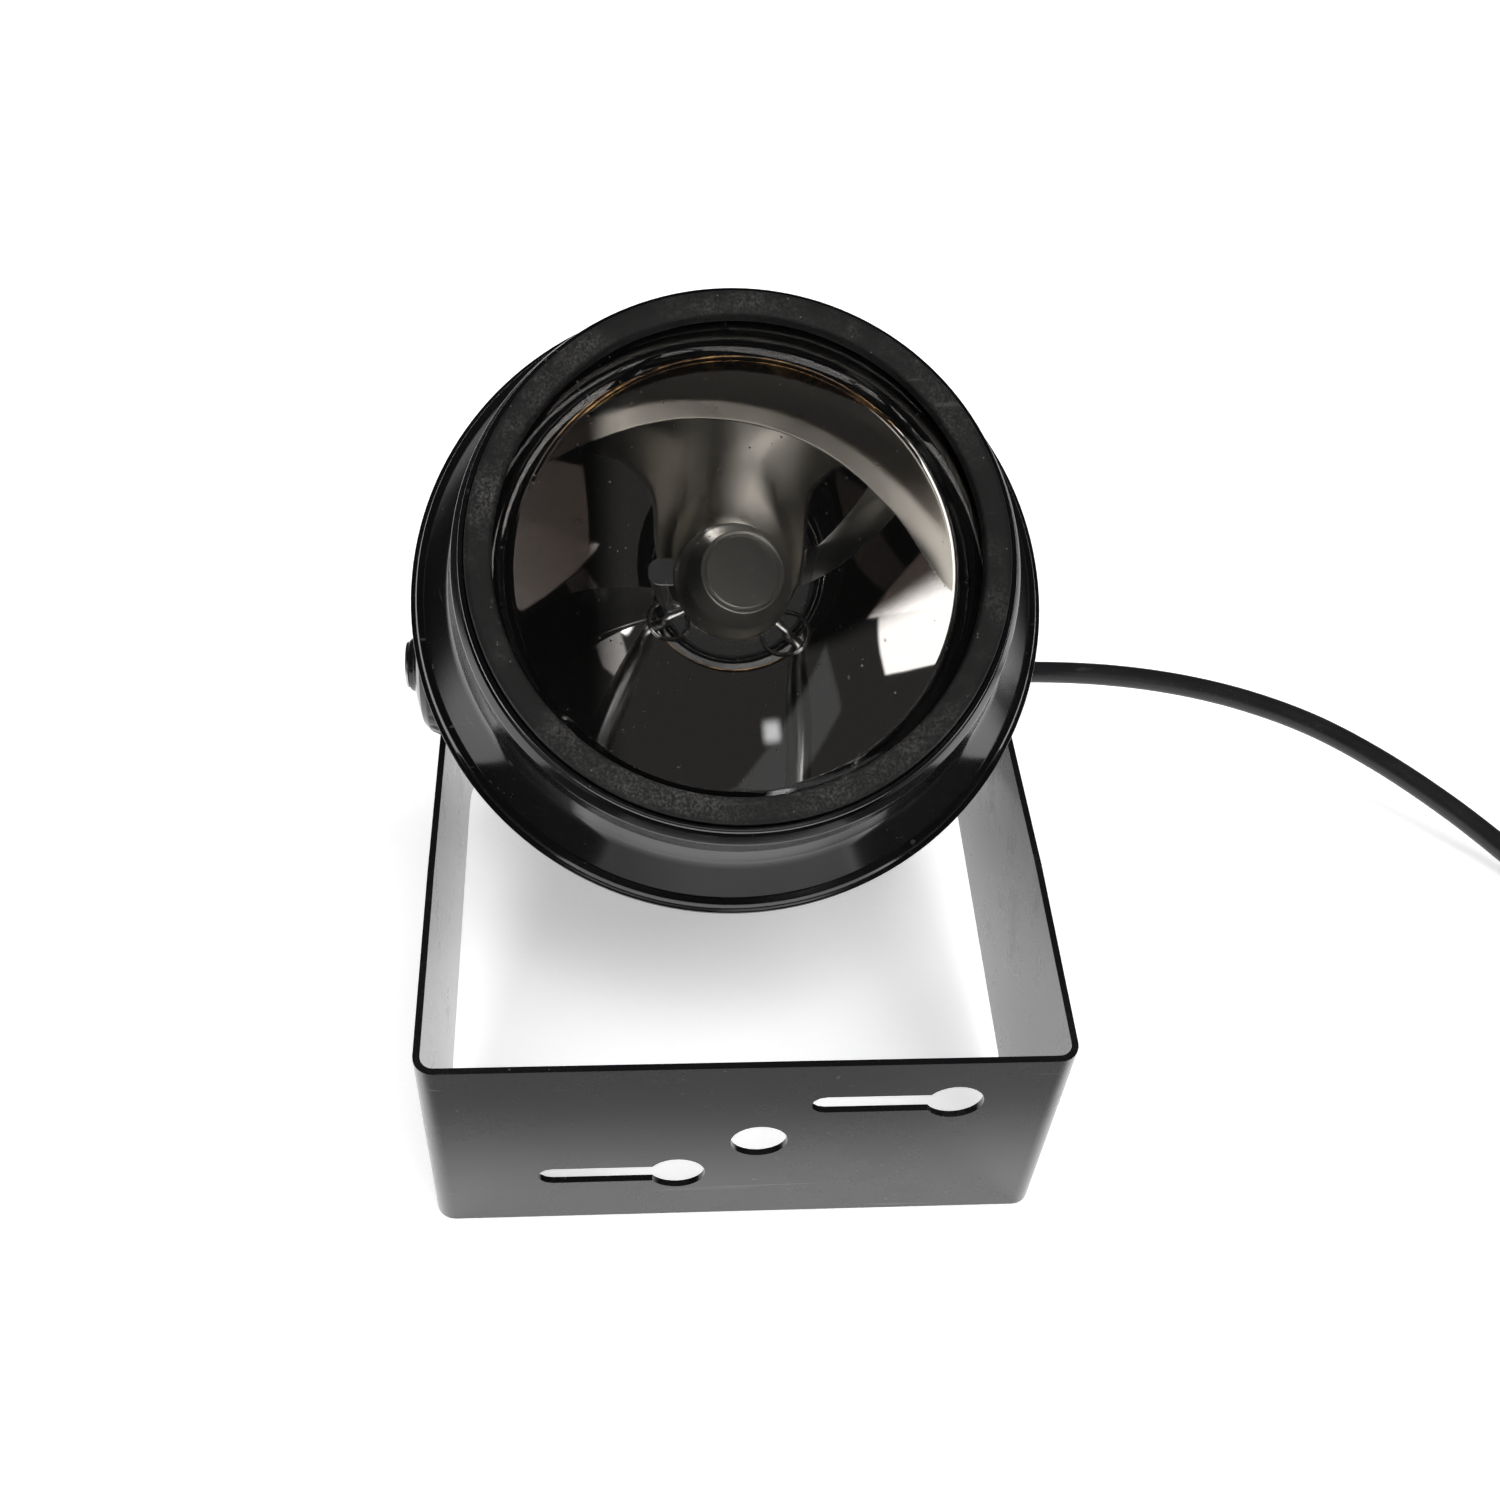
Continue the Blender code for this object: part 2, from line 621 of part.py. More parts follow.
def post_places():
    """Where the lamp's two posts stand, left then right, a little below the axis and turned about it."""
    for side, sign in SIDES:
        angle = POST_TURN if sign > 0 else math.pi + POST_TURN
        yield side, sign, (POST_SPREAD * math.cos(angle), POST_SPREAD * math.sin(angle) - POST_DROP)


def make_reflector(head):
    """The lamp's mirrored bowl, with a clear wall that flares to its sealed rim, and a hole for each post."""
    wall = REFLECTOR_RADIUS + REFLECTOR_WALL
    back = REFLECTOR_VERTEX - REFLECTOR_GLASS
    rim_back = REFLECTOR_FRONT - REFLECTOR_RIM
    inside = bowl(REFLECTOR_RADIUS, REFLECTOR_VERTEX)
    inside.append((REFLECTOR_RADIUS, REFLECTOR_FRONT - SEAL_FLARE_DEPTH))
    inside.append((REFLECTOR_RADIUS + SEAL_FLARE, REFLECTOR_FRONT))
    rim = [(LAMP_RADIUS, REFLECTOR_FRONT), (LAMP_RADIUS, rim_back), (wall, rim_back)]
    profile = inside + rim + list(reversed(bowl(wall, back)))
    reflector = add("lamp_reflector", turned("lamp_reflector", profile, ring=False), lamp_mirror(), head)
    for side, _, place in post_places():
        name = f"post_bore_{side}"
        bore = cylinder(name, POST_RADIUS + FIT_GAP, back - OVERRUN, FOCUS, SCREW_STEPS)
        combine(reflector, cutter(name, bore, head, (*place, 0)), "DIFFERENCE")


def make_filament(head):
    """The short wound wire at the focus, and the two posts that carry it."""
    half = FILAMENT_LENGTH / 2
    filament = cylinder("filament", FILAMENT_RADIUS, -half, half, SCREW_STEPS)
    add("filament", filament, plated_steel(), head, (0, 0, FOCUS), (0, math.pi / 2, 0))
    for side, sign, (across, up) in post_places():
        tip = Vector((sign * (half + FIT_GAP), 0, FOCUS))
        elbow = tip + Vector((sign * POST_RADIUS, 0, 0))
        foot = Vector((across, up, FERRULE_FRONT + FIT_GAP))
        knee = Vector((across, up, POST_KNEE))
        name = f"lamp_post_{side}"
        tube(name, (foot, knee, elbow, tip), POST_RADIUS, plated_steel()).parent = head


def make_lamp_back(head):
    """The ferrule and the terminal screw behind each post."""
    back = FERRULE_FRONT - FERRULE_LENGTH
    for side, _, place in post_places():
        ferrule = cylinder("lamp_ferrule", FERRULE_RADIUS, back, FERRULE_FRONT, SCREW_STEPS)
        add(f"lamp_ferrule_{side}", ferrule, plated_steel(), head, (*place, 0))
        top = back - FIT_GAP
        screw = cylinder("terminal_screw", SCREW_HEAD_RADIUS, top - SCREW_HEAD_HEIGHT, top, SCREW_STEPS)
        add(f"terminal_screw_{side}", screw, plated_steel(), head, (*place, 0))


def shield_middle():
    """The place of the middle of the shield's ball, on the lamp's axis."""
    return OPENING - SHIELD_FACE_DEPTH - SHIELD_LENGTH


def make_glare_shield(head):
    """The ball-shaped cup in front of the filament, cut flat in front, open behind and a little askew."""
    spread = math.asin(SHIELD_LENGTH / SHIELD_RADIUS)
    outside = [(0, SHIELD_LENGTH)] + arc((0, 0), SHIELD_RADIUS, spread, 0)
    within = SHIELD_RADIUS - SHIELD_WALL
    front = SHIELD_LENGTH - SHIELD_WALL
    inside = arc((0, 0), within, 0, math.asin(front / within)) + [(0, front)]
    shield = turned("glare_shield", outside + inside, SMALL_STEPS, ring=False)
    place, turn = (0, 0, shield_middle()), (0, SHIELD_LEAN, 0)
    add("glare_shield", shield, lamp_mirror(), head, place, turn)


def make_shield_leg(head):
    """The bent strip that carries the shield from beside the left post, its corners rounded."""
    _, sign, (across, up) = next(post_places())
    near = SHIELD_RADIUS * math.cos(SHIELD_LEAN) + FIT_GAP
    far = near + LEG_REACH
    top = shield_middle() + SHIELD_RADIUS * math.sin(SHIELD_LEAN) + LEG_SHEET
    foot = abs(across)
    strip = [(near, top), (far, top), (foot + LEG_SHEET, POST_KNEE), (foot, POST_KNEE)]
    strip += [(far - LEG_SHEET - LEG_INSET, top - LEG_SHEET), (near, top - LEG_SHEET)]
    strip = [(sign * out, height) for out, height in strip]
    low = up + POST_RADIUS + FIT_GAP
    leg = add("shield_leg", prism("shield_leg", strip, "Y", low, low + LEG_WIDTH), plated_steel(), head)
    quarter = math.pi / 2
    inner, outer = near - OVERRUN, far - LEG_CORNER
    tab = [(inner, low + LEG_WIDTH), (inner, low)]
    tab += arc((outer, low + LEG_CORNER), LEG_CORNER, -quarter, 0)
    tab += arc((outer, low + LEG_WIDTH - LEG_CORNER), LEG_CORNER, 0, quarter)
    tab = [(sign * out, height) for out, height in tab]
    tab = prism("shield_tab", tab, "Z", POST_KNEE - OVERRUN, top + OVERRUN)
    combine(leg, cutter("shield_tab", tab, head), "INTERSECT")


def make_retainer(head):
    """The spring ring behind the gasket that keeps the lamp in the cover."""
    front = OPENING - GASKET_DEPTH - FIT_GAP
    back = front - RETAINER_SHEET
    ring = washer("lamp_retainer", NECK_BORE - FIT_GAP, RETAINER_BORE, back, front, RING_STEPS)
    add("lamp_retainer", ring, plated_steel(), head)


def make_housing(head):
    """The spun can: a flange in front, a straight side, a rounded back and a flat boss at each pivot."""
    start = HOUSING_BACK + HOUSING_ROUND
    bore = HOUSING_RADIUS - HOUSING_SHEET
    flange_back = FLANGE_FRONT - HOUSING_FLANGE_SHEET
    centre = (BACK_FLAT, start)
    outside = [(0, HOUSING_BACK)] + arc(centre, HOUSING_ROUND, -math.pi / 2, 0)
    flange = [(HOUSING_RADIUS, flange_back), (HOUSING_FLANGE_RADIUS, flange_back)]
    flange += [(HOUSING_FLANGE_RADIUS, FLANGE_FRONT), (bore, FLANGE_FRONT)]
    inside = arc(centre, HOUSING_ROUND - HOUSING_SHEET, 0, -math.pi / 2) + [(0, INNER_BACK)]
    can = turned("rear_housing", outside + flange + inside, ring=False)
    can = add("rear_housing", can, black_paint(), head)
    bore_for_screws(can, head)
    gland = cylinder("gland_bore", GLAND_NECK_RADIUS + FIT_GAP, HOUSING_BACK - OVERRUN, INNER_BACK + OVERRUN)
    combine(can, cutter("gland_bore", gland, head, (GLAND_OFFSET, GLAND_OFFSET, 0)), "DIFFERENCE")
    for side, place in strap_screw_places():
        name = f"strap_bore_{side}"
        hole = cylinder(name, SCREW_BORE, HOUSING_BACK - OVERRUN, INNER_BACK + OVERRUN, SCREW_STEPS)
        combine(can, cutter(name, hole, head, (*place, 0)), "DIFFERENCE")
    for side, sign in SIDES:
        turn = (0, sign * math.pi / 2, 0)
        boss = cylinder(f"boss_{side}", BOSS_RADIUS, BOSS_FACE - BOSS_THICKNESS, BOSS_FACE, RING_STEPS)
        combine(can, cutter(f"boss_{side}", boss, head, (0, 0, 0), turn), "UNION")
    bore = cylinder("housing_pivot_bore", STUD_BORE, -BOSS_FACE - OVERRUN, BOSS_FACE + OVERRUN)
    combine(can, cutter("housing_pivot_bore", bore, head, (0, 0, 0), (0, math.pi / 2, 0)), "DIFFERENCE")


def cover_screw_places():
    """The screws that hold the cover on the housing, evenly round the flanges from the top."""
    for number in range(COVER_SCREWS):
        angle = math.pi / 2 + math.tau * number / COVER_SCREWS
        yield number + 1, (FLANGE_MIDDLE * math.cos(angle), FLANGE_MIDDLE * math.sin(angle))


def bore_for_screws(target, head):
    """Pierce a flange where the cover's screws pass."""
    for number, place in cover_screw_places():
        name = f"{target.name}_bore_{number}"
        hole = cylinder(name, SCREW_BORE, FLANGE_FRONT - OVERRUN, COVER_BACK + OVERRUN, SCREW_STEPS)
        combine(target, cutter(name, hole, head, (*place, 0)), "DIFFERENCE")


def screw(name, seat, reach):
    """A pan head screw about Z, its head behind the seat and its shank forward."""
    back = seat - SCREW_HEAD_HEIGHT
    profile = [(0, back), (SCREW_HEAD_RADIUS, back), (SCREW_HEAD_RADIUS, seat)]
    profile += [(SCREW_RADIUS, seat), (SCREW_RADIUS, seat + reach), (0, seat + reach)]
    return turned(name, profile, SCREW_STEPS, ring=False)


def make_cover_screws(head):
    """The screws behind the flanges."""
    seat = FLANGE_FRONT - HOUSING_FLANGE_SHEET - FIT_GAP
    for number, place in cover_screw_places():
        fixing = screw("cover_screw", seat, SCREW_REACH)
        add(f"cover_screw_{number}", fixing, plated_steel(), head, (*place, 0))


def strap_screw_places():
    """Where the transformer's strap is screwed to the back."""
    for side, sign in SIDES:
        yield side, (sign * (STRAP_SIDE + STRAP_SHEET + STRAP_FOOT / 2), -CORE_DROP)


def make_transformer(head):
    """The laminated core, the winding round its middle leg, and the strap and screws that hold it."""
    half, top = CORE_WIDTH / 2, CORE_FLOOR + CORE_HEIGHT
    stack = CORE_STACK / 2
    core = box("transformer_core", (-half, -stack, CORE_FLOOR), (half, stack, top))
    core = add("transformer_core", core, core_steel(), head, (0, -CORE_DROP, 0))
    for side, sign in SIDES:
        edges = sorted((sign * CORE_LEG, sign * 2 * CORE_LEG))
        low = (edges[0], -stack - OVERRUN, CORE_FLOOR + CORE_LEG)
        high = (edges[1], stack + OVERRUN, top - CORE_LEG)
        window = cutter(f"core_window_{side}", box("core_window", low, high), head, (0, -CORE_DROP, 0))
        combine(core, window, "DIFFERENCE")
    make_winding(head)
    make_strap(head, top)
    for side, place in strap_screw_places():
        fixing = screw("transformer_screw", HOUSING_BACK - FIT_GAP, SCREW_REACH)
        add(f"transformer_screw_{side}", fixing, plated_steel(), head, (*place, 0))


def make_winding(head):
    """The taped winding, a block with a hole for the core's middle leg."""
    wide = 2 * CORE_LEG - FIT_GAP
    bottom = CORE_FLOOR + CORE_LEG + FIT_GAP
    winding = box("transformer_coil", (-wide, -COIL_SIDE, bottom), (wide, COIL_SIDE, COIL_TOP))
    winding = add("transformer_coil", winding, coil_tape(), head, (0, -CORE_DROP, 0))
    leg, stack = CORE_LEG + FIT_GAP, CORE_STACK / 2 + FIT_GAP
    hole = box("winding_bore", (-leg, -stack, bottom - OVERRUN), (leg, stack, COIL_TOP + OVERRUN))
    combine(winding, cutter("winding_bore", hole, head, (0, -CORE_DROP, 0)), "DIFFERENCE")


def make_strap(head, core_top):
    """The steel strap over the core, with a foot at each side."""
    inner, outer = STRAP_SIDE, STRAP_SIDE + STRAP_SHEET
    floor, under = CORE_FLOOR, core_top + FIT_GAP
    foot = outer + STRAP_FOOT
    half = [(inner, floor), (foot, floor), (foot, floor + STRAP_SHEET), (outer, floor + STRAP_SHEET)]
    half += [(outer, under + STRAP_SHEET)]
    outline = half + [(-across, up) for across, up in reversed(half)] + [(-inner, under), (inner, under)]
    strap = prism("transformer_strap", outline, "Y", -STRAP_WIDTH / 2, STRAP_WIDTH / 2)
    strap = add("transformer_strap", strap, plated_steel(), head, (0, -CORE_DROP, 0))
    for side, place in strap_screw_places():
        name = f"strap_foot_bore_{side}"
        hole = cylinder(name, SCREW_BORE, floor - OVERRUN, floor + STRAP_SHEET + OVERRUN, SCREW_STEPS)
        combine(strap, cutter(name, hole, head, (*place, 0)), "DIFFERENCE")


def lead(name, stops, radius, head):
    """A lead whose first and last stretches run straight to what they meet."""
    start, first, *between, last, end = stops
    route = [start, *smooth_route([first, *between, last], CORE_LEG), end]
    tube(name, route, radius, lead_plastic()).parent = head


def make_leads(head):
    """The low voltage leads from the winding to the lamp, and the mains lead from the gland."""
    stub = Vector((0, 0, FERRULE_LENGTH))
    lamp_end = FERRULE_FRONT - FERRULE_LENGTH - SCREW_HEAD_HEIGHT - 2 * FIT_GAP
    winding_y = COIL_SIDE - CORE_DROP - CORE_LEG / 2
    for side, sign, (across, up) in post_places():
        end = Vector((across, up, lamp_end))
        start = Vector((sign * CORE_LEG * 3 / 2, winding_y, COIL_TOP + FIT_GAP))
        lead(f"lead_wire_{side}", (start, start + stub, end - stub, end), LEAD_RADIUS, head)
    gland_end = INNER_BACK + GLAND_FLANGE + 2 * FIT_GAP
    middle = (CORE_FLOOR + CORE_LEG + COIL_TOP) / 2
    start = Vector((GLAND_OFFSET, GLAND_OFFSET, gland_end))
    end = Vector((CORE_LEG, COIL_SIDE - CORE_DROP + FIT_GAP, middle))
    before = end + Vector((0, 2 * MAINS_LEAD_RADIUS, 0))
    lead("mains_lead", (start, start + stub, before, end), MAINS_LEAD_RADIUS, head)


def make_pivot(head):
    """On each side the nut inside the can, the friction washer, the plain washer, the stud and the knob."""
    hexagon = arc((0, 0), NUT_FLATS / math.sqrt(3), 0, math.tau, 6)[:-1]
    for side, sign in SIDES:
        turn = (0, sign * math.pi / 2, 0)
        nut = prism("pivot_nut", hexagon, "Z", NUT_TOP - NUT_HEIGHT, NUT_TOP)
        nut = add(f"pivot_nut_{side}", nut, plated_steel(), head, (0, 0, 0), turn)
        bore = cylinder("nut_bore", STUD_BORE, NUT_TOP - NUT_HEIGHT - OVERRUN, NUT_TOP + OVERRUN)
        combine(nut, cutter(f"nut_bore_{side}", bore, head, (0, 0, 0), turn), "DIFFERENCE")
        pad = washer("pivot_washer", PIVOT_WASHER_RADIUS, STUD_BORE, BOSS_FACE + FIT_GAP, ARM_INNER - FIT_GAP)
        add(f"pivot_washer_{side}", pad, black_rubber(), head, (0, 0, 0), turn)
        outer = YOKE_WIDTH / 2 + FIT_GAP
        plate = washer("knob_washer", KNOB_WASHER_RADIUS, STUD_BORE, outer, KNOB_BASE - FIT_GAP)
        add(f"knob_washer_{side}", plate, plated_steel(), head, (0, 0, 0), turn)
        make_knob(head, side, turn)


def make_knob(head, side, turn):
    """A round knob, flat under and domed on top, on a stud with a round cap."""
    base = (0, KNOB_BASE)
    dome = along(base, (KNOB_RADIUS, KNOB_TOP), KNOB_SHARES)
    profile = [(STUD_BORE, KNOB_BASE), (KNOB_RADIUS, KNOB_BASE)] + dome + [(STUD_BORE, KNOB_TOP)]
    add(f"knob_{side}", turned("knob", profile, SMALL_STEPS), knob_plastic(), head, (0, 0, 0), turn)
    cap = KNOB_TOP + FIT_GAP
    profile = [(0, STUD_INNER_END), (STUD_RADIUS, STUD_INNER_END), (STUD_RADIUS, cap)]
    profile += [(STUD_CAP_RADIUS, cap), (STUD_CAP_RADIUS, cap + STUD_CAP_HEIGHT)]
    profile += [(0, cap + STUD_CAP_HEIGHT)]
    stud = turned("knob_stud", profile, SMALL_STEPS, ring=False)
    add(f"knob_stud_{side}", stud, plated_steel(), head, (0, 0, 0), turn)


def make_strain_relief(head):
    """The moulded bush in the back of the can, whose tapered sleeve guides the cord out."""
    inner = INNER_BACK + FIT_GAP
    outer = HOUSING_BACK - FIT_GAP
    root = outer - GLAND_FLANGE
    profile = [(0, inner + GLAND_FLANGE), (GLAND_FLANGE_RADIUS, inner + GLAND_FLANGE)]
    profile += [(GLAND_FLANGE_RADIUS, inner), (GLAND_NECK_RADIUS, inner)]
    profile += [(GLAND_NECK_RADIUS, outer), (GLAND_FLANGE_RADIUS, outer)]
    profile += [(GLAND_FLANGE_RADIUS, root), (RELIEF_ROOT_RADIUS, root)]
    profile += [(RELIEF_TIP_RADIUS, root - RELIEF_LENGTH), (0, root - RELIEF_LENGTH)]
    relief = turned("strain_relief", profile, SMALL_STEPS // 2, ring=False)
    add("strain_relief", relief, cord_plastic(), head, (GLAND_OFFSET, GLAND_OFFSET, 0))


def coil_point(turns):
    """A point on the coil, which spirals in on the table, climbs over half a turn and spirals out again."""
    angle = COIL_ENTRY + math.tau * turns
    past = turns - COIL_TURNS / 2
    reach = COIL_INNER + TURN_PITCH * abs(past)
    share = min(max(2 * past + 1 / 2, 0), 1)
    rise = share * share * (3 - 2 * share)
    place = Vector((*COIL_CENTRE, COIL_FLOOR + TURN_RISE * rise))
    return place + Vector((reach * math.cos(angle), reach * math.sin(angle), 0))


def coil_points():
    """The coil's turns with a straight end at each side, the second one as the tail that reaches the plug."""
    count = round(COIL_TURNS * COIL_POINTS)
    turns = [coil_point(COIL_TURNS * index / count) for index in range(count + 1)]
    first = (turns[0] - turns[1]).normalized()
    last = Vector((0, 1, 0))
    start = turns[0] + first * 2 * CORD_RADIUS
    return [start, *turns, turns[-1] + last * COIL_TAIL / 2, turns[-1] + last * COIL_TAIL]


def least_gap(points):
    """The least clear distance between one turn of a tube and another."""
    apart = COIL_POINTS // 2
    fine = []
    for first, second in zip(points, points[1:]):
        fine += [first, first.lerp(second, 1 / 2)]
    least = min(
        (first - second).length
        for index, first in enumerate(fine)
        for second in fine[index + 2 * apart:]
    )
    return least - 2 * CORD_RADIUS


def make_cord(head_matrix):
    """The free stretch from the strain relief to the coil, then the coil itself."""
    start = head_matrix @ Vector((GLAND_OFFSET, GLAND_OFFSET, RELIEF_END))
    onward = head_matrix @ Vector((GLAND_OFFSET, GLAND_OFFSET, RELIEF_END - CORD_RADIUS))
    stops = [Vector((GLAND_OFFSET + across, RELIEF_Y + back, up)) for across, back, up in CORD_ROUTE]
    turns = coil_points()
    arriving = (turns[0] - turns[1]).normalized()
    end = turns[0] + arriving * FIT_GAP
    before = end + arriving * 2 * CORD_RADIUS
    route = [start, *smooth_route([onward, *stops, before], CORD_STEP), end]
    tube("cord_run", route, CORD_RADIUS, cord_plastic())
    tube("cord_coil", turns, CORD_RADIUS, cord_plastic(), sides=6)
    free = length_of(route)
    total = free + length_of(turns) + RELIEF_LENGTH
    print(f"cord: {total:.3f} m, free stretch {free:.3f} m, least gap in the coil {least_gap(turns):.5f} m")


def rounded(width, height, corner, middle):
    """A rectangle with round corners about a middle point."""
    quarter = math.pi / 2
    points = []
    for number, (across, up) in enumerate(((1, 1), (-1, 1), (-1, -1), (1, -1))):
        centre = (middle[0] + across * (width / 2 - corner), middle[1] + up * (height / 2 - corner))
        points += arc(centre, corner, number * quarter, (number + 1) * quarter, ARC_STEPS // 2)
    return points


def make_tie():
    """The flat strap round the coil's turns."""
    wide = COIL_OUTER - COIL_INNER + 2 * CORD_RADIUS + 2 * TIE_GAP
    high = TURN_RISE + 2 * CORD_RADIUS + 2 * FIT_GAP
    middle = ((COIL_OUTER + COIL_INNER) / 2, COIL_FLOOR + TURN_RISE / 2)
    corner = CORD_RADIUS
    outside = rounded(wide + 2 * TIE_SHEET, high + 2 * TIE_SHEET, corner + TIE_SHEET, middle)
    inside = rounded(wide, high, corner, middle)
    place, turn = (*COIL_CENTRE, 0), (0, 0, TIE_ANGLE)
    band = prism("coil_tie", outside, "Y", -TIE_WIDTH / 2, TIE_WIDTH / 2)
    band = add("coil_tie", band, cord_plastic(), None, place, turn)
    room = prism("coil_tie_room", inside, "Y", -TIE_WIDTH / 2 - OVERRUN, TIE_WIDTH / 2 + OVERRUN)
    combine(band, cutter("coil_tie_room", room, None, place, turn), "DIFFERENCE")


def plug_section(distance, half_width, half_height):
    """A section of the plug, round where it meets the cord and squarer where it is wide."""
    power = 2 / (2 + (PLUG_SQUARENESS - 2) * half_width / (PLUG_WIDTH / 2))
    points = []
    for index in range(PLUG_POINTS):
        angle = math.tau * index / PLUG_POINTS
        across, up = math.cos(angle), math.sin(angle)
        across = math.copysign(abs(across) ** power, across)
        up = math.copysign(abs(up) ** power, up)
        points.append((half_width * across, distance, half_height * up))
    return points


def make_plug():
    """The moulded plug at the end of the coil's tail, with two blades and an earth pin."""
    place = coil_points()[-1] + Vector((0, FIT_GAP, 0))
    sections = [
        plug_section(PLUG_LENGTH * at, PLUG_WIDTH * wide, PLUG_HEIGHT * high)
        for at, wide, high in PLUG_SHARES
    ]
    add("plug_body", lofted("plug_body", sections), cord_plastic(), None, place)
    face = PLUG_LENGTH + FIT_GAP
    for side, sign in SIDES:
        middle = sign * BLADE_SPREAD / 2
        low = (middle - BLADE_SHEET / 2, face, BLADE_RISE - BLADE_WIDTH / 2)
        high = (middle + BLADE_SHEET / 2, face + BLADE_LENGTH, BLADE_RISE + BLADE_WIDTH / 2)
        add(f"plug_blade_{side}", box("plug_blade", low, high), plug_brass(), None, place)
    pin = cylinder("plug_earth_pin", EARTH_PIN_RADIUS, 0, EARTH_PIN_LENGTH, SMALL_STEPS // 2)
    tip = place + Vector((0, face, BLADE_RISE - EARTH_PIN_DROP))
    add("plug_earth_pin", pin, plug_brass(), None, tip, (-math.pi / 2, 0, 0))


def make_head(head):
    """Everything that tilts on the pivot."""
    make_front_cover(head)
    make_gasket(head)
    make_lens(head)
    make_reflector(head)
    make_filament(head)
    make_lamp_back(head)
    make_glare_shield(head)
    make_shield_leg(head)
    make_retainer(head)
    make_housing(head)
    make_cover_screws(head)
    make_transformer(head)
    make_leads(head)
    make_pivot(head)
    make_strain_relief(head)


def main():
    clear_scene()
    yoke = empty("yoke_frame", None, YOKE_PLACE, YOKE_TILT)
    head = empty("head_frame", yoke, (0, YOKE_ARM, PIVOT_HEIGHT), HEAD_TILT - YOKE_TILT)
    make_yoke(yoke)
    make_head(head)
    pivot = YOKE_PLACE + Vector((0, PIVOT_Y, PIVOT_Z))
    make_cord(Matrix.Translation(pivot) @ Matrix.Rotation(HEAD_TILT, 4, "X"))
    make_tie()
    make_plug()


main()
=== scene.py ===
"""The looks of a pin spot stage light: a glossy black bracket and round head, a sealed beam lamp and a cord.

Metres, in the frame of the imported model: +Z up, +X along the pivot to the viewer's right, -Y to the viewer.
Turned pieces are drawn as outlines of (radius, height) corners with a rounding each, in the head's own frame,
whose origin is on the pivot and whose Z runs out of the opening.
"""

import json
import math

import bmesh
import bpy
from mathutils import Matrix, Vector


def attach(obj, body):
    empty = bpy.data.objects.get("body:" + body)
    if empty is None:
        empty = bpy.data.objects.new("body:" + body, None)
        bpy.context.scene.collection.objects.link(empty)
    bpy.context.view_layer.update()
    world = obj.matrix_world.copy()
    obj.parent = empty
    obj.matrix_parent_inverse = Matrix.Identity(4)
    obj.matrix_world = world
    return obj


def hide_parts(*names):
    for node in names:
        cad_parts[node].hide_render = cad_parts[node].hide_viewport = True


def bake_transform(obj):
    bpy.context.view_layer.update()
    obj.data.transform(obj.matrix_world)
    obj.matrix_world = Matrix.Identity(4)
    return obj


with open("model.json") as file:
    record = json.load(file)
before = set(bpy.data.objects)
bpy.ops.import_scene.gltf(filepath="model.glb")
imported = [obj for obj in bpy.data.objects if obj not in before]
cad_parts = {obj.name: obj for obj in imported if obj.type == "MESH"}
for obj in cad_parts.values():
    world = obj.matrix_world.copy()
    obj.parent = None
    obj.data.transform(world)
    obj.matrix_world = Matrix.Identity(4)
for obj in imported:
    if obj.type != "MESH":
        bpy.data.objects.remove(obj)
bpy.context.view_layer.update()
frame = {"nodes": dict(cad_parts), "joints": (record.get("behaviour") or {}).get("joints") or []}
NODES = frame["nodes"]

# The head's place and turn
HEAD_TILT = math.radians(45.2)
PIVOT = Vector(next(joint["pos_m"] for joint in frame["joints"] if joint["name"] == "tilt"))
HEAD = Matrix.Translation(PIVOT) @ Matrix.Rotation(HEAD_TILT, 4, "X")

# Camera
CAMERA_PLACE = (-0.0270, -0.36596, 0.3288)
CAMERA_FORWARD = (0.0748, 0.8086, -0.5836)
CAMERA_UP = (0.0073, 0.5848, 0.8111)
CAMERA_LENS = 42.03
CAMERA_SENSOR = 36

# Roundness
RING_STEPS = 160
SMALL_STEPS = 96
FILLET_STEPS = 5
DOME_STEPS = 24
BOWL_STEPS = 40
MERGE = 0.000002
TURN_MERGE = 0.000001
FLAT_ANGLE = math.radians(1)
SOFT_ANGLE = math.radians(30)
CRISP_ANGLE = math.radians(35)
FILLET_SHARE = 0.49
ROD_SIDES = 16
SEAT_GAP = 0.0003

# Head, with depths behind the gasket's face
OPENING = 0.1208
GASKET_BORE = 0.0543
LAMP_RADIUS = 0.05715
LENS_RIM = OPENING - 0.0048
LENS_CROWN = 0.005
LENS_GLASS = 0.003
REFLECTOR_RADIUS = 0.0515
REFLECTOR_WALL = 0.004
REFLECTOR_RIM = 0.003
REFLECTOR_FRONT = OPENING - 0.0081
SEAL_FLARE = 0.0045
SEAL_FLARE_DEPTH = 0.0069
BOWL_TOP = OPENING - 0.019
REFLECTOR_VERTEX = OPENING - 0.059
REFLECTOR_GLASS = 0.003
FOCAL_LENGTH = REFLECTOR_RADIUS**2 / (4 * (BOWL_TOP - REFLECTOR_VERTEX))
POST_SPREAD = 0.0145
POST_DROP = 0.0047
POST_TURN = math.radians(-7)
POST_RADIUS = 0.0012
POST_RISE = 0.0041
SEAL_RINGS = (("left", 0.0049), ("right", 0.0056))
SEAL_BEAD = 0.0006
FILAMENT_HALF = 0.0035
FILAMENT_COIL = 0.0008
FILAMENT_TURNS = 40
FILAMENT_WIRE = 0.00012
FILAMENT_STEPS = 16
FILAMENT_SIDES = 8
SHIELD_MIDDLE = OPENING - 0.0297
SHIELD_LEAN = math.radians(9)
HOUSING_BACK = -0.032848
KNOB_BASE = 0.0718
KNOB_FLUTES = 24.0
KNOB_RADIUS = 0.020
KNOB_STEPS = 384
FLUTE_DEPTH = 0.0008
